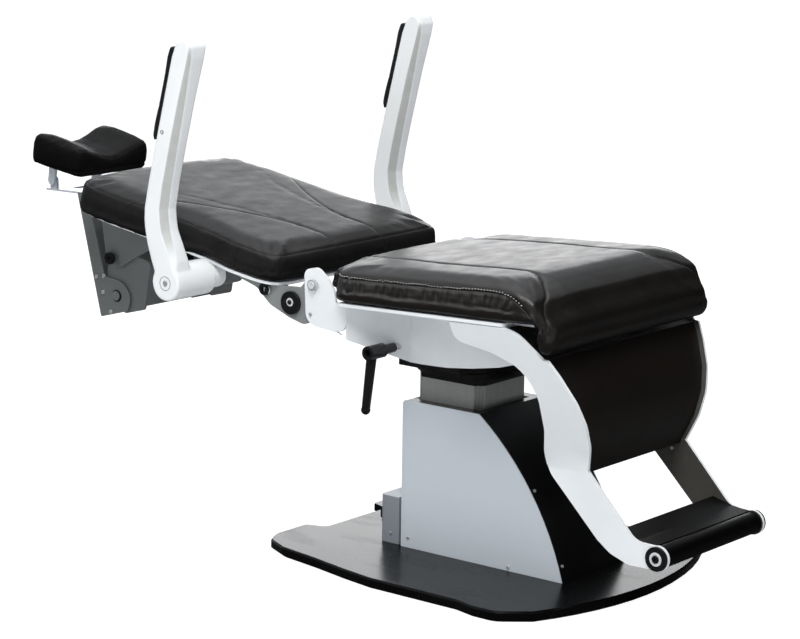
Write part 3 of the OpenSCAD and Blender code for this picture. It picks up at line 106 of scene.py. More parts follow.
def addCamera():
    turn, height, roll = (math.radians(view[key]) for key in ("turn", "height", "roll"))
    back = Vector((math.sin(turn) * math.cos(height), -math.cos(turn) * math.cos(height), math.sin(height)))
    side = (-back).cross(Vector((0, 0, 1))).normalized()
    up = side.cross(-back)
    right = side * math.cos(roll) + up * math.sin(roll)
    top = up * math.cos(roll) - side * math.sin(roll)
    bpy.ops.object.camera_add(location=view["place"])
    camera = bpy.context.object
    camera.name = "camera"
    camera.matrix_world = Matrix([[right[i], top[i], back[i], view["place"][i]] for i in range(3)] + [[0, 0, 0, 1]])
    camera.data.lens = view["lens"]
    camera.data.sensor_width = 36
    camera.data.clip_end = 100
    scene.camera = camera


bpy.ops.object.select_all(action="DESELECT")
addCamera()
print("camera placed")


# Shader maths written as plain expressions
class Wire:
    def __init__(self, graph, socket):
        self.graph = graph
        self.socket = socket

    def calc(self, operation, *values):
        return self.graph.add("ShaderNodeMath", {"operation": operation}, dict(enumerate(values)))

    def __add__(self, other):
        return self.calc("ADD", self, other)

    def __radd__(self, other):
        return self.calc("ADD", other, self)

    def __sub__(self, other):
        return self.calc("SUBTRACT", self, other)

    def __rsub__(self, other):
        return self.calc("SUBTRACT", other, self)

    def __mul__(self, other):
        return self.calc("MULTIPLY", self, other)

    def __rmul__(self, other):
        return self.calc("MULTIPLY", other, self)

    def __abs__(self):
        return self.calc("ABSOLUTE", self)

    def between(self, low, high):
        # 0 below low and 1 above high, with a soft step
        return self.graph.add("ShaderNodeMapRange", {"interpolation_type": "SMOOTHSTEP"},
                              {"Value": self, "From Min": low, "From Max": high})


class Graph:
    def __init__(self, tree):
        self.tree = tree

    def add(self, kind, settings=None, inputs=None, output=0):
        node = self.tree.nodes.new(kind)
        for key, value in (settings or {}).items():
            setattr(node, key, value)
        for key, value in (inputs or {}).items():
            self.feed(node.inputs[key], value)
        return Wire(self, node.outputs[output]) if len(node.outputs) else None

    def feed(self, socket, value):
        if isinstance(value, Wire):
            self.tree.links.new(value.socket, socket)
        else:
            socket.default_value = value

    def mixColour(self, factor, first, second):
        return self.add("ShaderNodeMix", {"data_type": "RGBA"}, {0: factor, 6: first, 7: second}, 2)

    def eitherRay(self, *names):
        # 1 for a ray of one kind or the other
        first, second = (self.add("ShaderNodeLightPath", output=name) for name in names)
        return first.calc("MAXIMUM", first, second)

    def part(self, vector, axis):
        return self.add("ShaderNodeSeparateXYZ", None, {0: vector}, axis)


class Finish(Graph):
    def __init__(self, name):
        self.material = bpy.data.materials.new(name)
        self.material.use_nodes = True
        super().__init__(self.material.node_tree)
        self.shader = self.tree.nodes["Principled BSDF"]
        self.place = self.add("ShaderNodeTexCoord", output="Object")

    def facing(self, axis):
        return self.part(self.add("ShaderNodeTexCoord", output="Normal"), axis)

    def speckle(self, scale, detail=2.0, stretch=(1, 1, 1)):
        place = self.add("ShaderNodeMapping", None, {"Vector": self.place, "Scale": stretch})
        return self.add("ShaderNodeTexNoise", None, {"Vector": place, "Scale": scale, "Detail": detail})

    def cells(self, scale, feature="F1"):
        inputs = {"Vector": self.place, "Scale": scale}
        return self.add("ShaderNodeTexVoronoi", {"feature": feature}, inputs, "Distance")

    def marks(self, name):
        return self.add("ShaderNodeAttribute", {"attribute_name": name}, None, "Fac")

    def surface(self, **sockets):
        for name, value in sockets.items():
            self.feed(self.shader.inputs[name.replace("_", " ")], value)

    def roundedEdge(self, radius):
        return self.add("ShaderNodeBevel", {"samples": 4}, {"Radius": radius})

    def edgeMask(self, edge, wide=0.16):
        # how worn an edge is: 1 where the rounded normal leaves the flat one
        flat = self.add("ShaderNodeNewGeometry", output="True Normal")
        turned = 1 - self.add("ShaderNodeVectorMath", {"operation": "DOT_PRODUCT"}, {0: edge, 1: flat}, "Value")
        return turned.between(0.02, wide)

    def bump(self, height, distance, strength=1.0, normal=None):
        inputs = {"Height": height, "Distance": distance, "Strength": strength}
        if normal is not None:
            inputs["Normal"] = normal
        return self.add("ShaderNodeBump", None, inputs)


# Floor, backdrop and studio light
studio = {"floorSize": 60, "floorDrop": 0.0006, "floorGrey": 0.8, "floorMirror": 0.09, "floorShare": 0.3, "glow": 0.94,
          "skyFront": 0.012, "skyBack": 0.8, "skyHeading": (0.30, 0.62, 0.72), "ambient": 0.43,
          "tint": (0.9, 0.95, 1.0, 1)}


def addFloor():
    bpy.ops.mesh.primitive_plane_add(size=studio["floorSize"], location=(0, 0, -studio["floorDrop"]))
    floor = bpy.context.object
    floor.name = "studioFloor"
    paper = bpy.data.materials.new("paperFloor")
    paper.use_nodes = True
    graph = Graph(paper.node_tree)
    graph.tree.nodes.clear()
    # polished pieces see a dark floor, as in a studio with the lamps turned away from it
    glossy = graph.add("ShaderNodeLightPath", output="Is Glossy Ray")
    bounce = glossy * (studio["floorMirror"] - studio["floorGrey"]) + studio["floorGrey"]
    matt = graph.add("ShaderNodeBsdfDiffuse", None, {"Color": bounce})
    dim = graph.add("ShaderNodeBsdfDiffuse", None, {"Color": (studio["floorShare"],) * 3 + (1,)})
    light = graph.add("ShaderNodeEmission", None, {"Strength": studio["glow"]})
    both = graph.add("ShaderNodeAddShader", None, {0: dim, 1: light})
    shown = graph.eitherRay("Is Camera Ray", "Is Transmission Ray")
    shader = graph.add("ShaderNodeMixShader", None, {0: shown, 1: matt, 2: both})
    graph.add("ShaderNodeOutputMaterial", None, {"Surface": shader})
    floor.data.materials.append(paper)


def addWorld():
    world = bpy.data.worlds.new("studioSky")
    scene.world = world
    world.use_nodes = True
    graph = Graph(world.node_tree)
    graph.tree.nodes.clear()
    # the studio is bright behind and above the chair, and dim behind the camera and before the foot end
    heading = graph.add("ShaderNodeTexCoord", output="Generated")
    inputs = {0: heading, 1: studio["skyHeading"]}
    towards = graph.add("ShaderNodeVectorMath", {"operation": "DOT_PRODUCT"}, inputs, "Value")
    reflected = towards.between(0.45, 0.95) * (studio["skyBack"] - studio["skyFront"]) + studio["skyFront"]
    glossy = graph.add("ShaderNodeLightPath", output="Is Glossy Ray")
    direct = graph.eitherRay("Is Camera Ray", "Is Transmission Ray")
    strength = direct + (1 - direct) * (glossy * reflected + (1 - glossy) * studio["ambient"])
    colour = graph.mixColour(direct, studio["tint"], (1, 1, 1, 1))
    sky = graph.add("ShaderNodeBackground", None, {"Color": colour, "Strength": strength})
    graph.add("ShaderNodeOutputWorld", None, {"Surface": sky})


lamps = [
    {"name": "overhead", "place": (0.2, 0.3, 3.0), "aim": (0, 0.1, 0.5), "size": (2.4, 2.4), "power": 20},
    {"name": "highSide", "place": (-1.9, -1.0, 3.2), "aim": (0, -0.05, 0.4), "size": (1.4, 1.4), "power": 88},
    {"name": "footFill", "place": (-1.2, -3.8, 1.4), "aim": (0, -0.2, 0.4), "size": (1.4, 1.4), "power": 6},
    {"name": "backGlow", "place": (3.9, 3.1, 1.2), "aim": (0, 0, 0.5), "size": (3.2, 1.5), "power": 50},
    {"name": "headStrip", "place": (-2.9, 2.6, 2.3), "aim": (0, 0.0, 0.5), "size": (1.5, 1.3), "power": 26},
]


def addLamps():
    for lamp in lamps:
        bpy.ops.object.light_add(type="AREA", location=lamp["place"])
        light = bpy.context.object
        light.name = lamp["name"]
        light.data.shape = "RECTANGLE"
        light.data.size, light.data.size_y = lamp["size"]
        light.data.energy = lamp["power"]
        aim = Vector(lamp["aim"]) - Vector(lamp["place"])
        light.rotation_euler = aim.to_track_quat("-Z", "Y").to_euler()
        light.visible_camera = False


addFloor()
addWorld()
addLamps()
print("studio ready")


# Finishes
def powderCoat(name, colour, roughness, grain=0.00005, edge=0.0009, dirt=0.05):
    finish = Finish(name)
    rounded = finish.roundedEdge(edge)
    worn = finish.edgeMask(rounded)
    cloud = finish.speckle(5.5, 4)
    fine = finish.speckle(850, 2)
    handled = finish.speckle(34, 5, (1, 1, 0.3)).between(0.56, 0.75)
    dark = scaled(colour, 1 - dirt)
    pale = scaled(colour, 1 + dirt, 0.004)
    base = finish.mixColour(cloud.between(0.35, 0.68), dark, pale)
    base = finish.mixColour(worn * 0.35, base, scaled(colour, 1.12, 0.012))
    finish.surface(Base_Color=base, Roughness=roughness + cloud * 0.06 - 0.03 + handled * 0.05 + worn * -0.06,
                   Normal=finish.bump(fine + handled * 0.2, grain, 0.6, rounded))
    return finish.material


def silverLacquer(name, colour, roughness):
    finish = Finish(name)
    rounded = finish.roundedEdge(0.0008)
    worn = finish.edgeMask(rounded)
    flake = finish.cells(2600)
    cloud = finish.speckle(4, 3)
    smear = finish.speckle(22, 5, (1, 1, 0.22)).between(0.5, 0.8)
    base = finish.mixColour(flake.between(0.1, 0.6), scaled(colour, 0.9), colour)
    base = finish.mixColour(worn * 0.4, base, tone(236, 238, 240))
    finish.surface(Base_Color=base, Metallic=0.08 + cloud * 0.1, Roughness=roughness + smear * 0.05 + flake * 0.05,
                   Normal=finish.bump(finish.speckle(700, 2), 0.00004, 0.5, rounded))
    return finish.material


def brushedMetal(name, colour, roughness, stretch, edge=0.0005, metal=1.0):
    finish = Finish(name)
    rounded = finish.roundedEdge(edge)
    worn = finish.edgeMask(rounded, 0.2)
    brush = finish.speckle(1, 3, stretch)
    cloud = finish.speckle(12, 3)
    base = finish.mixColour(brush.between(0.3, 0.7), scaled(colour, 0.88), colour)
    base = finish.mixColour(worn * 0.3, base, (0.9, 0.9, 0.9, 1))
    finish.surface(Base_Color=base, Metallic=metal, Roughness=roughness + brush * 0.1 + cloud * 0.08 - 0.08,
                   Normal=finish.bump(brush, 0.00003, 0.6, rounded))
    return finish.material


def mouldedPlastic(name, colour, roughness, grainScale=900):
    finish = Finish(name)
    rounded = finish.roundedEdge(0.0007)
    worn = finish.edgeMask(rounded, 0.18)
    cells = finish.cells(grainScale)
    cloud = finish.speckle(18, 4)
    base = finish.mixColour(cloud.between(0.3, 0.7), colour, scaled(colour, 1.5, 0.001))
    base = finish.mixColour(worn * 0.3, base, scaled(colour, 2.5, 0.01))
    finish.surface(Base_Color=base, Roughness=roughness + cloud * 0.1 - 0.05,
                   Normal=finish.bump(cells + cloud * 0.2, 0.00006, 0.7, rounded))
    return finish.material


def leather(name, colour, seams, grainScale=620, roughness=0.37, shine=0.5, sides=0):
    # grained hide, with painted shade darkening its side faces where asked, and darker along the seams that the mesh
    # is marked with
    finish = Finish(name)
    grain = finish.cells(grainScale)
    pebble = finish.cells(grainScale * 0.45, "SMOOTH_F1")
    pores = finish.speckle(grainScale * 2.4, 2)
    creases = finish.speckle(26, 6, (1, 0.55, 1)).between(0.52, 0.6)
    creases = creases * (1 - finish.speckle(31, 6).between(0.4, 0.62))
    cloud = finish.speckle(7, 4, (1, 0.6, 1))
    patches = finish.speckle(24, 5, (0.8, 1.6, 1))
    base = finish.mixColour(cloud.between(0.3, 0.72), colour, scaled(colour, 1.3, 0.0004))
    base = finish.mixColour(grain.between(0.35, 0.75) * 0.5, base, scaled(colour, 0.5))
    height = grain * -0.4 + pebble * -0.35 + pores * 0.1 + creases * -0.25
    rough = roughness + patches * 0.22 - 0.11 + cloud * 0.06 - 0.03 + pores * 0.04
    if sides:
        # painted shade: faces that don't look up are darkened by the share given in sides
        shadedFlank = (1 - finish.facing("Z").between(0.4, 0.85)) * sides
        base = finish.mixColour(shadedFlank, base, (0.0006, 0.0005, 0.0004, 1))
        rough = rough + shadedFlank * 0.3
    if seams:
        seam = abs(finish.marks("seamGap"))
        line = 1 - seam.between(0.4, 1.3)
        near = 1 - seam.between(1.0, 7.0)
        base = finish.mixColour(line * 0.95, base, (0.001, 0.0009, 0.0008, 1))
        rough = rough + line * 0.4 - near * 0.03
        height = height + line * -3.0
    finish.surface(Base_Color=base, Roughness=rough, Normal=finish.bump(height, 0.00012, 0.75))
    finish.surface(IOR=1.5, Specular_IOR_Level=shine)
    return finish.material


def rubberFinish(name, colour, roughness, shine=0.2):
    finish = Finish(name)
    rounded = finish.roundedEdge(0.0006)
    fine = finish.speckle(1300, 3)
    scuff = finish.speckle(40, 6, (0.3, 1, 1)).between(0.55, 0.72)
    base = finish.mixColour(scuff * 0.5, colour, scaled(colour, 2.2, 0.004))
    finish.surface(Base_Color=base, Roughness=roughness + fine * 0.1 + scuff * 0.1,
                   Normal=finish.bump(fine, 0.00008, 0.7, rounded))
    finish.surface(Specular_IOR_Level=shine)
    return finish.material


def castingFinish(name, outside, grooveShade):
    # white casting; the flat chamfer between the side face and the front face is painted grey, as painted shade of a
    # concave groove
    finish = Finish(name)
    lean = abs(finish.facing("X"))
    ahead = finish.facing("Y")
    tall = finish.part(finish.place, "Z")
    # painted shade: a mask from the chamfer's facing, limited in height, that gets the grey
    shadeBand = lean.between(0.3, 0.6) * (1 - lean.between(0.86, 0.97)) * (0 - ahead).between(0.15, 0.4)
    shadeBand = shadeBand * tall.between(0.54, 0.6) * (1 - tall.between(0.925, 0.955))
    cloud = finish.speckle(5.5, 4)
    fine = finish.speckle(520, 3)
    skin = finish.mixColour(cloud.between(0.35, 0.7), scaled(outside, 0.95), outside)
    shade = finish.mixColour(finish.speckle(40, 4), grooveShade, scaled(grooveShade, 1.25))
    finish.surface(Base_Color=finish.mixColour(shadeBand, skin, shade), Roughness=0.32 + cloud * 0.06 + shadeBand * 0.15,
                   Normal=finish.bump(fine, 0.00006, 0.6))
    return finish.material


def glossPlate(name, colour):
    # lacquered floor plate: glossy, with dust and shoe marks that dull it
    finish = Finish(name)
    rounded = finish.roundedEdge(0.0012)
    worn = finish.edgeMask(rounded)
    dust = finish.speckle(420, 4).between(0.52, 0.72)
    marks = finish.speckle(16, 6, (1, 0.35, 1)).between(0.5, 0.72)
    cloud = finish.speckle(3, 4)
    base = finish.mixColour(marks * 0.3, colour, scaled(colour, 1.8, 0.002))
    base = finish.mixColour(worn * 0.4, base, scaled(colour, 2.5, 0.01))
    finish.surface(Base_Color=base, Roughness=0.22 + cloud * 0.06 + marks * 0.05 + dust * 0.03,
                   Normal=finish.bump(finish.speckle(900, 2), 0.00003, 0.4, rounded))
    finish.surface(IOR=1.24)
    return finish.material


def innerDarkSheet(name, outside, inside):
    # painted outside, and darker on the face that looks to the chair's middle
    finish = Finish(name)
    rounded = finish.roundedEdge(0.0009)
    worn = finish.edgeMask(rounded)
    across = finish.facing("X")
    side = finish.part(finish.place, "X")
    inner = (0 - across * side.calc("SIGN", side)).between(0.55, 0.75)
    cloud = finish.speckle(5.5, 4)
    fine = finish.speckle(850, 2)
    paint = finish.mixColour(cloud.between(0.35, 0.7), scaled(outside, 0.96), outside)
    paint = finish.mixColour(worn * 0.35, paint, (0.95, 0.95, 0.95, 1))
    innerTone = finish.mixColour(finish.speckle(60, 5), inside, scaled(inside, 1.5))
    finish.surface(Base_Color=finish.mixColour(inner, paint, innerTone), Roughness=0.34 + inner * 0.12 + cloud * 0.05,
                   Normal=finish.bump(fine, 0.00005, 0.6, rounded))
    return finish.material


white = tone(233, 236, 238)
finishes = {
    "whitePaint": powderCoat("whitePaint", white, 0.34),
    # the armrests' grey chamfer is painted shade
    "whiteCasting": castingFinish("whiteCasting", tone(240, 242, 242), tone(176, 177, 174)),
    "silverPaint": silverLacquer("silverPaint", tone(218, 225, 232), 0.4),
    "boxPaint": silverLacquer("boxPaint", tone(150, 157, 163), 0.4),
    "blackPaint": powderCoat("blackPaint", tone(10, 9, 9), 0.32, 0.00008, 0.0012, 0.15),
    "basePaint": glossPlate("basePaint", tone(5, 5, 6)),
    "blackCover": powderCoat("blackCover", tone(5, 5, 6), 0.36, 0.00007, 0.001, 0.15),
    "greyPaint": powderCoat("greyPaint", tone(100, 103, 102), 0.34, 0.00006, 0.0009, 0.1),
    "paleGrey": powderCoat("paleGrey", tone(130, 133, 132), 0.36, 0.00006, 0.0009, 0.06),
    "anodised": brushedMetal("anodised", tone(186, 188, 184), 0.36, (900, 900, 6), 0.0006, 0.45),
    "steel": brushedMetal("steel", tone(205, 207, 210), 0.28, (260, 260, 60), 0.0005, 0.55),
    "paleSteel": brushedMetal("paleSteel", tone(216, 222, 229), 0.3, (60, 260, 260), 0.0005, 0.3),
    "darkSteel": brushedMetal("darkSteel", tone(92, 93, 95), 0.32, (420, 420, 420)),
    "washerSteel": brushedMetal("washerSteel", tone(226, 228, 230), 0.3, (420, 420, 420), 0.0003, 0.2),
    "thread": rubberFinish("thread", tone(232, 231, 227), 0.6),
    "bronze": brushedMetal("bronze", tone(186, 146, 92), 0.35, (300, 300, 300)),
    "rubber": rubberFinish("rubber", tone(12, 11, 11), 0.55),
    "gripRubber": rubberFinish("gripRubber", tone(5, 4, 4), 0.42, 0.1),
    "blackPlastic": mouldedPlastic("blackPlastic", tone(12, 12, 13), 0.36),
    "palePlastic": mouldedPlastic("palePlastic", tone(226, 225, 214), 0.45, 700),
    "vinylPanel": leather("vinylPanel", tone(19, 14, 10), False, 820, 0.4),
    "hide": leather("hide", tone(18, 14, 11), True),
    # the back's and the headrest's hides get painted shade on their side faces
    "backHide": leather("backHide", tone(17, 14, 12), True, 620, 0.39, 0.4, 0.9),
    # the headrest's hide is the same hide painted darker, as painted shade
    "shadedHeadHide": leather("shadedHeadHide", tone(11, 9, 7), True, 620, 0.5, 0.18, 0.9),
    "padSkin": leather("padSkin", tone(20, 21, 23), False, 900, 0.42),
    # the head ribs' and headrest arm's near-black inner faces are painted shade inside their channel
    "greySheet": innerDarkSheet("greySheet", tone(100, 103, 102), tone(12, 12, 12)),
    "footArm": innerDarkSheet("footArmPaint", white, tone(62, 60, 56)),
}
nodeFinish = {
    "whitePaint": ["pedestal_rear", "frame_side_right", "frame_side_left", "frame_front_beam", "frame_rear_beam",
                   "seat_pan", "back_pan"],
    "whiteCasting": ["armrest_right", "armrest_left"],
    "silverPaint": ["pedestal_side_right", "pedestal_side_left"],
    "boxPaint": ["power_box"],
    "basePaint": ["base_plate"],
    "blackPaint": ["swivel_base_ring", "swivel_ring", "turntable_plate", "column_top_plate"],
    "blackCover": ["pedestal_front", "pedestal_top"],
    "greyPaint": ["brake_block", "arm_mounts", "headrest_link"],
    "greySheet": ["head_ribs", "headrest_arm"],
    "paleGrey": ["back_bracket_right", "back_bracket_left"],
    "anodised": ["column_inner", "column_outer"],
    "steel": ["column_foot", "lift_motor", "lift_spindle", "cover_screws", "recline_pins", "frame_screws",
              "lock_stud", "arm_axles"],
    "paleSteel": ["headrest_bar", "headrest_bracket"],
    "bronze": ["lift_nut", "swivel_bush", "thrust_washer", "recline_washers"],
    "rubber": ["base_mat"],
    "gripRubber": ["foot_tube", "foot_plate"],
    "blackPlastic": ["power_inlet", "power_switch", "foot_caps", "recline_buffers", "lock_lever"],
    "palePlastic": ["glide_pads"],
    "vinylPanel": ["leg_panel"],
    "footArm": ["foot_arm_right", "foot_arm_left"],
    "hide": ["seat_cushion", "back_cushion", "headrest_cushion"],
    "padSkin": ["arm_pad_right", "arm_pad_left"],
}
for finishName, names in nodeFinish.items():
    for name in names:
        nodes[name].data.materials.clear()
        nodes[name].data.materials.append(finishes[finishName])
print("finishes on", sum(len(names) for names in nodeFinish.values()), "nodes")


# Cushions
def softCopy(node, name, pad):
    piece = mergedCopy(node, name)
    applyModifier(piece, "DISPLACE", strength=-pad["inset"], mid_level=0)
    applyModifier(piece, "REMESH", mode="VOXEL", voxel_size=pad["voxel"])
    swell(piece, pad)
    applyModifier(piece, "SUBSURF", levels=1, render_levels=1)
    piece.data.materials.clear()
    piece.data.materials.append(finishes[pad["finish"]])
    selectOnly(piece)
    bpy.ops.object.shade_smooth()
    return piece


def readPoints(mesh, field="co"):
    values = np.zeros(len(mesh.vertices) * 3, np.float32)
    mesh.vertices.foreach_get(field, values)
    return values.reshape(-1, 3).astype(float)


def writePoints(mesh, points):
    mesh.vertices.foreach_set("co", points.astype(np.float32).ravel())
    mesh.update()


cloth = {"quality": 5, "mass": 0.3, "tension": 12, "shear": 6, "bending": 0.8, "steps": 20}


def swell(piece, pad):
    # the skin is blown up a little and held where it rests on its pan
    before = readPoints(piece.data)
    normals = readPoints(piece.data, "normal")
    held = piece.vertex_groups.new(name="held")
    held.add([int(i) for i in np.nonzero(normals[:, 2] < pad["heldBelow"])[0]], 1.0, "REPLACE")
    blown = piece.modifiers.new("swell", "CLOTH")
    settings = blown.settings
    settings.quality = cloth["quality"]
    settings.mass = cloth["mass"]
    settings.tension_stiffness = cloth["tension"]
    settings.compression_stiffness = cloth["tension"]
    settings.shear_stiffness = cloth["shear"]
    settings.bending_stiffness = cloth["bending"]
    settings.use_pressure = True
    settings.uniform_pressure_force = pad["pressure"]
    settings.vertex_group_mass = "held"
    settings.effector_weights.gravity = 0
    blown.collision_settings.use_collision = False
    blown.point_cache.frame_start = 1
    blown.point_cache.frame_end = cloth["steps"]
    for step in range(1, cloth["steps"] + 1):
        scene.frame_set(step)
    swollen = readPoints(piece.evaluated_get(bpy.context.evaluated_depsgraph_get()).data)
    piece.modifiers.remove(blown)
    scene.frame_set(1)
    move = swollen - before
    length = np.linalg.norm(move, axis=1, keepdims=True)
    move *= np.minimum(1, pad["cap"] / np.maximum(length, 1e-9))
    writePoints(piece.data, before + move)
    piece.vertex_groups.clear()


def smoothPath(points, spacing):
    # a curve through the given points, cut into short steps
    points = [Vector(p) for p in points]
    ends = [points[0] * 2 - points[1]] + points + [points[-1] * 2 - points[-2]]
    path = []
    for a, b, c, d in zip(ends, ends[1:], ends[2:], ends[3:]):
        count = max(2, int((c - b).length / spacing))
        for i in range(count):
            t = i / count
            bent = (2 * a - 5 * b + 4 * c - d) * t * t + (3 * b - a - 3 * c + d) * t ** 3
            path.append(0.5 * (2 * b + (c - a) * t + bent))
    return path + [points[-1]]


def traceOn(piece, points, spacing=0.0015):
    tree = surfaceOf(piece)
    path = [tree.find_nearest(p)[0] for p in smoothPath(points, spacing)]
    kept = [path[0]]
    for p in path:
        if (p - kept[-1]).length > spacing * 0.4:
            kept.append(p)
    return kept


seamForm = {"reach": 0.034, "far": 30.0, "half": 0.0032, "closed": 0.002, "startFade": 0.02, "endFade": 0.075}
pucker = {"away": 0.006, "half": 0.005, "share": 0.14}
gatherFold = {"away": 0.012, "half": 0.011, "share": 0.75}


def ridge(distance, form):
    # a soft fold at some distance from the seam
    return math.exp(-((distance - form["away"]) / form["half"]) ** 2) * form["share"]


def markSeams(piece, paths, depth, gathered=()):
    # marks the signed distance to the nearest seam in mm and presses a groove along it, with fine puckers
    # beside it and wide gathers below the gathered seams
    tree = kdtree.KDTree(sum(len(path) for path in paths))
    places, tangents, travels, pulls, fades = [], [], [], [], []
    for number, path in enumerate(paths):
        travel = 0
        for i, p in enumerate(path):
            ahead = path[min(i + 1, len(path) - 1)] - path[max(i - 1, 0)]
            tree.insert(p, len(places))
            places.append(p)
            tangents.append(ahead.normalized())
            travel += (p - path[max(i - 1, 0)]).length
            travels.append(travel)
            pulls.append(number in gathered)
        closed = (path[0] - path[-1]).length < seamForm["closed"]
        for t in travels[len(fades):]:
            fades.append(1 if closed else min(1, t / seamForm["startFade"], (travel - t) / seamForm["endFade"]))
    tree.balance()
    mesh = piece.data
    gaps = np.full(len(mesh.vertices), seamForm["far"], np.float32)
    points, normals = readPoints(mesh), readPoints(mesh, "normal")
    moved = points.copy()
    for i, (point, normal) in enumerate(zip(points, normals)):
        near, index, distance = tree.find(point)
        if distance > seamForm["reach"]:
            continue
        side = tangents[index].cross(Vector(normal)).dot(Vector(point) - near)
        gaps[i] = 1000 * math.copysign(distance, side)
        along = travels[index]
        if pulls[index] and point[2] < near.z:
            wave = 0.5 + 0.5 * math.sin(along * 290 + 2.1 * math.sin(along * 57) + 0.9 * math.sin(along * 131))
            fold = ridge(distance, gatherFold) * wave ** 2
        else:
            wave = 0.5 + 0.5 * math.sin(along * 700 + 1.7 * math.sin(along * 130))
            fold = ridge(distance, pucker) * wave
        groove = math.exp(-(distance / seamForm["half"]) ** 2)
        moved[i] -= normal * depth * (groove + fold) * fades[index]
    attribute = mesh.attributes.new("seamGap", "FLOAT", "POINT")
    attribute.data.foreach_set("value", gaps)
    writePoints(mesh, moved)


def wrinkle(piece, size, height):
    # slack of the hide: slow waves over the whole skin
    texture = bpy.data.textures.new(piece.name + "Slack", "CLOUDS")
    texture.noise_scale = size
    texture.noise_depth = 2
    applyModifier(piece, "DISPLACE", strength=height, mid_level=0.5, texture=texture, texture_coords="LOCAL")
    bpy.data.textures.remove(texture)


stitch = {"half": 0.0015, "thick": 0.00062, "pitch": 0.0066, "above": 0.003, "lift": 0.0002, "skipped": 14}


def addStitches(name, piece, lines, body):
    # one stitch is modelled, set in a row and bent along the seam
    tree = surfaceOf(piece)
    for number, line in enumerate(lines):
        row = []
        for i in range(2, len(line) - 2):
            place, normal = tree.find_nearest(line[i])[:2]
            ahead = (line[i + 2] - line[i - 2]).normalized()
            up = ahead.cross(normal)
            place, normal = tree.find_nearest(place + up * math.copysign(stitch["above"], up.z))[:2]
            row.append(place + normal * stitch["lift"])
        thread = bpy.data.curves.new(name + "Line", "CURVE")
        thread.dimensions = "3D"
        spline = thread.splines.new("POLY")
        spline.points.add(len(row) - 1)
        for point, place in zip(spline.points, row):
            point.co = (*place, 1)
        guide = bpy.data.objects.new(name + "Guide", thread)
        scene.collection.objects.link(guide)
        bpy.ops.mesh.primitive_uv_sphere_add(segments=8, ring_count=6, radius=1)
        threads = bpy.context.object
        threads.name = name + str(number + 1)
        threads.scale = (stitch["half"], stitch["thick"], stitch["thick"])
        settle(threads)
        bpy.ops.object.shade_smooth()
        applyModifier(threads, "ARRAY", fit_type="FIT_CURVE", curve=guide, use_relative_offset=False,
                      use_constant_offset=True, constant_offset_displace=(stitch["pitch"], 0, 0))
        applyModifier(threads, "CURVE", object=guide, deform_axis="POS_X")
        bpy.data.objects.remove(guide)
        threads.data.materials.append(finishes["thread"])
        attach(threads, body)


def dress(piece, node, body):
    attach(piece, body)
    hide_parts(node)


def mirrored(points):
    return [(-x, y, z) for x, y, z in points]


seatPad = {"inset": 0.0015, "voxel": 0.006, "pressure": 4, "cap": 0.005, "heldBelow": -0.3, "finish": "hide",
           "slack": 0.0009, "groove": 0.0022}
seatTopSeam = [(-0.096, 0.192, 0.540), (-0.108, 0.165, 0.556), (-0.124, 0.142, 0.563), (-0.141, 0.064, 0.567),
               (-0.152, -0.064, 0.573), (-0.146, -0.170, 0.579), (-0.146, -0.216, 0.581), (-0.158, -0.257, 0.583),
               (-0.180, -0.289, 0.582), (-0.203, -0.312, 0.575), (-0.229, -0.334, 0.562), (-0.248, -0.350, 0.545),
               (-0.260, -0.353, 0.52), (-0.262, -0.347, 0.49)]
seatSideSeam = [(-0.19, 0.168, 0.541), (-0.222, 0.150, 0.545), (-0.245, 0.128, 0.547), (-0.27, 0.095, 0.549),
                (-0.27, 0.011, 0.552), (-0.27, -0.072, 0.556), (-0.27, -0.152, 0.560), (-0.27, -0.215, 0.565),
                (-0.27, -0.257, 0.564), (-0.27, -0.283, 0.556), (-0.27, -0.300, 0.546), (-0.268, -0.318, 0.532)]
seatRearSeam = [(-0.19, 0.168, 0.541), (-0.165, 0.192, 0.536), (-0.1, 0.198, 0.535), (0.1, 0.198, 0.535),
                (0.165, 0.192, 0.536), (0.19, 0.168, 0.541)]


def addSeatCushion():
    piece = softCopy("seat_cushion", "seatCushion", seatPad)
    wrinkle(piece, 0.06, seatPad["slack"])
    tops = [traceOn(piece, line) for line in (seatTopSeam, mirrored(seatTopSeam))]
    sides = [traceOn(piece, line) for line in (seatSideSeam, mirrored(seatSideSeam))]
    markSeams(piece, tops + sides + [traceOn(piece, seatRearSeam)], seatPad["groove"], (2, 3))
    addStitches("seatStitch", piece, [path[:-stitch["skipped"]] for path in sides], "seat")
    dress(piece, "seat_cushion", "seat")


# Places on the back are given along it and square to it
backFrame = {"y": 0.187, "z": 0.519, "tilt": math.radians(9)}


def onBack(x, along, up):
    c, s = math.cos(backFrame["tilt"]), math.sin(backFrame["tilt"])
    return (x, backFrame["y"] + along * c - up * s, backFrame["z"] + along * s + up * c)


backPad = {"inset": 0.0015, "voxel": 0.006, "pressure": 4, "cap": 0.005, "heldBelow": -0.5, "finish": "backHide",
           "slack": 0.001, "groove": 0.0009, "middle": 0.36, "seamHeight": 0.0265, "rays": 72,
           "hang": 0.011, "hangStart": 0.26, "hangRun": 0.06, "hangTop": 0.006, "hangDeep": 0.026}
backTopSeam = [(-0.066, 0.072, 0.02), (-0.068, 0.085, 0.036), (-0.067, 0.140, 0.036), (-0.070, 0.200, 0.036),
               (-0.085, 0.250, 0.036), (-0.118, 0.320, 0.036), (-0.165, 0.395, 0.036), (-0.200, 0.440, 0.034),
               (-0.232, 0.466, 0.028), (-0.246, 0.476, 0.018)]
backSideSeam = [(-0.26, 0.175, 0.026), (-0.262, 0.175, -0.02)]


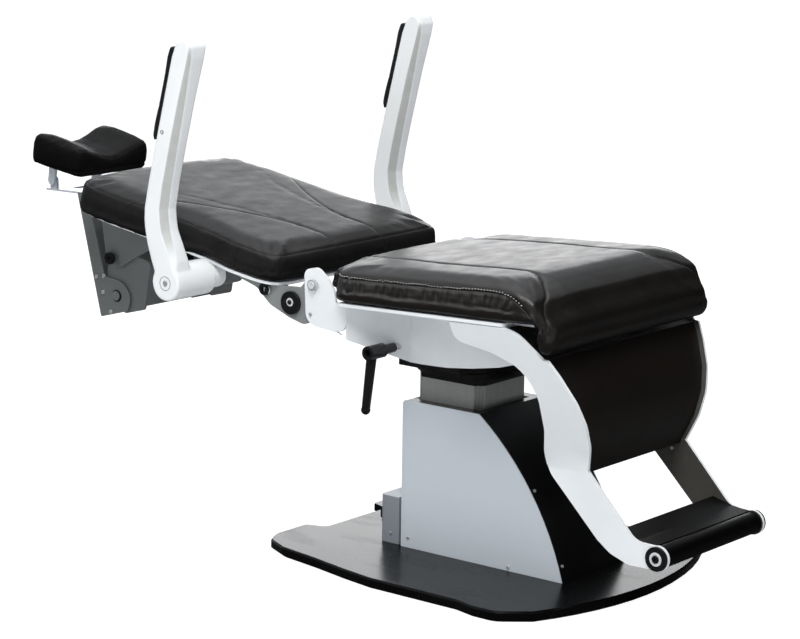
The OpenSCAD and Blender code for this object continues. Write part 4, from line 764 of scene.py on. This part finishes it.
def hangOver(piece):
    # from the armrests to the head end the hide wraps round the edge of the pan
    points, normals = readPoints(piece.data), readPoints(piece.data, "normal")
    c, s = math.cos(backFrame["tilt"]), math.sin(backFrame["tilt"])
    along = (points[:, 1] - backFrame["y"]) * c + (points[:, 2] - backFrame["z"]) * s
    up = -(points[:, 1] - backFrame["y"]) * s + (points[:, 2] - backFrame["z"]) * c
    part = np.clip((along - backPad["hangStart"]) / backPad["hangRun"], 0, 1)
    low = np.clip((backPad["hangTop"] - up) / backPad["hangDeep"], 0, 1)
    outward = np.clip((np.hypot(normals[:, 0], normals[:, 1] * 0.8) - 0.25) / 0.4, 0, 1)
    shift = backPad["hang"] * part * part * (3 - 2 * part) * low * outward
    points[:, 1] += shift * s
    points[:, 2] -= shift * c
    writePoints(piece.data, points)


def ringOn(piece, centre, rays, away):
    # where rays from all round meet the piece at the height of a seam
    tree = surfaceOf(piece)
    hits = [tree.ray_cast(centre + ray * away, -ray)[0] for ray in rays]
    ring = [hit for hit in hits if hit is not None]
    return traceOn(piece, ring + ring[:1])


def addBackCushion():
    piece = softCopy("back_cushion", "backCushion", backPad)
    hangOver(piece)
    wrinkle(piece, 0.06, backPad["slack"])
    centre = Vector(onBack(0, backPad["middle"], backPad["seamHeight"]))
    rays = []
    for i in range(backPad["rays"]):
        turn = i * 2 * math.pi / backPad["rays"]
        rays.append(Vector(onBack(math.cos(turn), math.sin(turn), 0)) - Vector(onBack(0, 0, 0)))
    top, edge = ([onBack(*p) for p in line] for line in (backTopSeam, backSideSeam))
    paths = [traceOn(piece, top), traceOn(piece, mirrored(top)), ringOn(piece, centre, rays, 0.6)]
    paths += [traceOn(piece, edge), traceOn(piece, mirrored(edge))]
    markSeams(piece, paths, backPad["groove"])
    dress(piece, "back_cushion", "backrest")


headPad = {"inset": 0.001, "voxel": 0.0035, "pressure": 4, "cap": 0.003, "heldBelow": -0.5, "finish": "shadedHeadHide",
           "slack": 0.0008, "groove": 0.0016, "seamHeight": 0.016, "rays": 60, "rise": 0.05}


def addHeadCushion():
    piece = softCopy("headrest_cushion", "headrestCushion", headPad)
    wrinkle(piece, 0.04, headPad["slack"])
    low, high = (Vector(corner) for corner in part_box("headrest_cushion"))
    centre = Vector(((low.x + high.x) / 2, (low.y + high.y) / 2, low.z + headPad["seamHeight"]))
    rays = []
    for i in range(headPad["rays"]):
        turn = i * 2 * math.pi / headPad["rays"]
        rays.append(Vector((math.cos(turn), math.sin(turn), headPad["rise"] * math.sin(turn))))
    markSeams(piece, [ringOn(piece, centre, rays, 0.3)], headPad["groove"])
    dress(piece, "headrest_cushion", "headrest")


armPad = {"inset": 0.001, "voxel": 0.003, "pressure": 3, "cap": 0.0015, "heldBelow": -2, "finish": "padSkin"}


def addArmPads():
    for side in ("right", "left"):
        piece = softCopy("arm_pad_" + side, "armPad" + side.capitalize(), armPad)
        dress(piece, "arm_pad_" + side, "armrest_" + side)


addSeatCushion()
print("seat cushion made")
addBackCushion()
print("back cushion made")
addHeadCushion()
addArmPads()
print("headrest and arm pads made")


# Smooth copies of sheet and cast pieces
smoothed = [
    {"node": "leg_panel", "name": "legPanel", "body": "seat", "slot": "black_panel", "angle": 40},
    {"node": "base_plate", "name": "basePlate", "body": "base", "angle": 25},
    {"node": "pedestal_front", "name": "pedestalFront", "body": "base", "angle": 30},
    {"node": "foot_arm_right", "name": "footArmRight", "body": "seat", "angle": 35},
    {"node": "foot_arm_left", "name": "footArmLeft", "body": "seat", "angle": 35},
    {"node": "frame_side_right", "name": "frameSideRight", "body": "seat", "angle": 35},
    {"node": "frame_side_left", "name": "frameSideLeft", "body": "seat", "angle": 35},
]


def addSmoothed():
    for part in smoothed:
        piece = mergedCopy(part["node"], part["name"])
        selectOnly(piece)
        bpy.ops.object.shade_smooth_by_angle(angle=math.radians(part["angle"]))
        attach(piece, part["body"])
        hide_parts(part["node"])


casting = {"voxel": 0.0022, "rounds": 7, "share": 0.5}


def addArmrests():
    for side in ("right", "left"):
        piece = mergedCopy("armrest_" + side, "armrest" + side.capitalize())
        applyModifier(piece, "REMESH", mode="VOXEL", voxel_size=casting["voxel"])
        applyModifier(piece, "SMOOTH", factor=casting["share"], iterations=casting["rounds"])
        selectOnly(piece)
        bpy.ops.object.shade_smooth()
        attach(piece, "armrest_" + side)
        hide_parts("armrest_" + side)


# Screws, washers and knobs
screws = {
    "discScrew": {"radius": 0.0041, "height": 0.0034, "socket": 0.0022, "finish": "darkSteel"},
    "capScrew": {"radius": 0.0064, "height": 0.0032, "socket": 0.0034, "finish": "blackPlastic"},
    "plateScrew": {"radius": 0.0042, "height": 0.0026, "socket": 0.0021, "finish": "steel"},
    "pinScrew": {"radius": 0.0072, "height": 0.0018, "socket": 0.0034, "finish": "washerSteel"},
    "hubScrew": {"radius": 0.0052, "height": 0.0011, "socket": 0.0031, "finish": "steel"},
    "knob": {"radius": 0.0125, "height": 0.0075, "socket": 0.0034, "finish": "blackPlastic"},
}
washers = {
    "washer": {"outer": 0.0122, "inner": 0.0072, "thick": 0.0012},
    "smallWasher": {"outer": 0.0078, "inner": 0.0045, "thick": 0.0009},
}


def makeRod(sides, radius, depth, middle):
    bpy.ops.mesh.primitive_cylinder_add(vertices=sides, radius=radius, depth=depth, location=(0, 0, middle))
    rod = bpy.context.object
    settle(rod)
    return rod


def bevelEdges(piece, width, segments):
    applyModifier(piece, "BEVEL", width=width, segments=segments, limit_method="ANGLE", angle_limit=math.radians(50))


def pierce(piece, tool):
    applyModifier(piece, "BOOLEAN", operation="DIFFERENCE", object=tool)
    bpy.data.objects.remove(tool)


def finishModel(piece, name, finish):
    selectOnly(piece)
    bpy.ops.object.shade_smooth_by_angle(angle=math.radians(35))
    piece.data.materials.append(finishes[finish])
    piece.name = name + "Model"
    return piece


def makeScrew(name, size):
    height = size["height"]
    head = makeRod(40, size["radius"], height, height / 2)
    bevelEdges(head, height * 0.22, 3)
    pierce(head, makeRod(6, size["socket"], height * 1.2, height * 0.95))
    return finishModel(head, name, size["finish"])


def makeWasher(name, size):
    thick = size["thick"]
    ring = makeRod(48, size["outer"], thick, thick / 2)
    pierce(ring, makeRod(48, size["inner"], thick * 3, thick / 2))
    bevelEdges(ring, thick * 0.25, 2)
    return finishModel(ring, name, "washerSteel")


def outerFace(node, side, y, z):
    # how far out the node reaches at this height and depth
    mesh = nodes[node].data
    tree = BVHTree.FromPolygons([v.co for v in mesh.vertices], [p.vertices for p in mesh.polygons])
    hit = tree.ray_cast(Vector((side * 0.6, y, z)), Vector((-side, 0, 0)))[0]
    return None if hit is None else abs(hit.x)


def fixOn(model, name, side, x, y, z, body):
    piece = bpy.data.objects.new(name, model.data.copy())
    scene.collection.objects.link(piece)
    piece.matrix_world = Matrix.Translation((side * x, y, z)) @ Matrix.Rotation(side * math.pi / 2, 4, "Y")
    settle(piece)
    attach(piece, body)


# The armrests' hub screws and the small screws on their outer faces
hub = {"y": 0.4402, "z": 0.5054, "probe": 0.007, "sink": 0.0003, "face": 0.3561, "ring": 0.0128, "wire": 0.00045}
armScrew = {"y": 0.447, "z": 0.784, "sink": 0.0018}
fixingSink = 0.0002
fixings = [
    # model, node it stands on, y, z, how far off the centre the face is probed, body
    ("smallWasher", "recline_buffers", 0.245, 0.479, 0.0062, "backrest"),
    ("discScrew", "recline_buffers", 0.245, 0.479, 0.0062, "backrest"),
    ("smallWasher", "recline_buffers", 0.304, 0.494, 0.0062, "backrest"),
    ("discScrew", "recline_buffers", 0.304, 0.494, 0.0062, "backrest"),
    ("pinScrew", "recline_pins", 0.187, 0.519, 0.0085, "seat"),
    ("washer", "foot_caps", -0.518, 0.124, 0.0105, "seat"),
    ("capScrew", "foot_caps", -0.518, 0.124, 0.0105, "seat"),
    ("plateScrew", "headrest_arm", 0.836, 0.438, 0, "headrest_arm"),
    ("plateScrew", "headrest_arm", 0.816, 0.442, 0, "headrest_arm"),
    ("plateScrew", "headrest_arm", 0.818, 0.409, 0, "headrest_arm"),
    ("plateScrew", "headrest_arm", 0.797, 0.372, 0, "headrest_arm"),
    ("knob", "headrest_link", 0.790, 0.482, 0.009, "headrest_link"),
    ("knob", "headrest_link", 0.781, 0.4065, 0.009, "headrest_link"),
]


def addFixings():
    models = {name: makeScrew(name, size) for name, size in screws.items()}
    models.update({name: makeWasher(name, size) for name, size in washers.items()})
    for number, (model, node, y, z, probe, body) in enumerate(fixings):
        for side, word in ((-1, "Right"), (1, "Left")):
            x = outerFace(node, side, y + probe, z)
            print("fixing", model, node, word, None if x is None else round(x, 4))
            if x is not None:
                fixOn(models[model], model + str(number) + word, side, x - fixingSink, y, z, body)
    for side, word in ((-1, "Right"), (1, "Left")):
        body = "armrest_" + word.lower()
        x = outerFace(body, side, hub["y"] + hub["probe"], hub["z"])
        fixOn(models["hubScrew"], "hubScrew" + word, side, x - hub["sink"], hub["y"], hub["z"], body)
        y, z = armScrew["y"], armScrew["z"]
        x = outerFace(body, side, y, z)
        if x is not None:
            fixOn(models["plateScrew"], "armScrew" + word, side, x - armScrew["sink"], y, z, body)
        bpy.ops.mesh.primitive_torus_add(major_radius=hub["ring"], minor_radius=hub["wire"], major_segments=64,
                                         minor_segments=8)
        ring = bpy.context.object
        ring.data.materials.append(finishes["darkSteel"])
        fixOn(ring, "hubRing" + word, side, hub["face"], hub["y"], hub["z"], body)
        bpy.data.objects.remove(ring)
    for model in models.values():
        bpy.data.objects.remove(model)


addSmoothed()
addArmrests()
addFixings()
print("copies and fixings made")
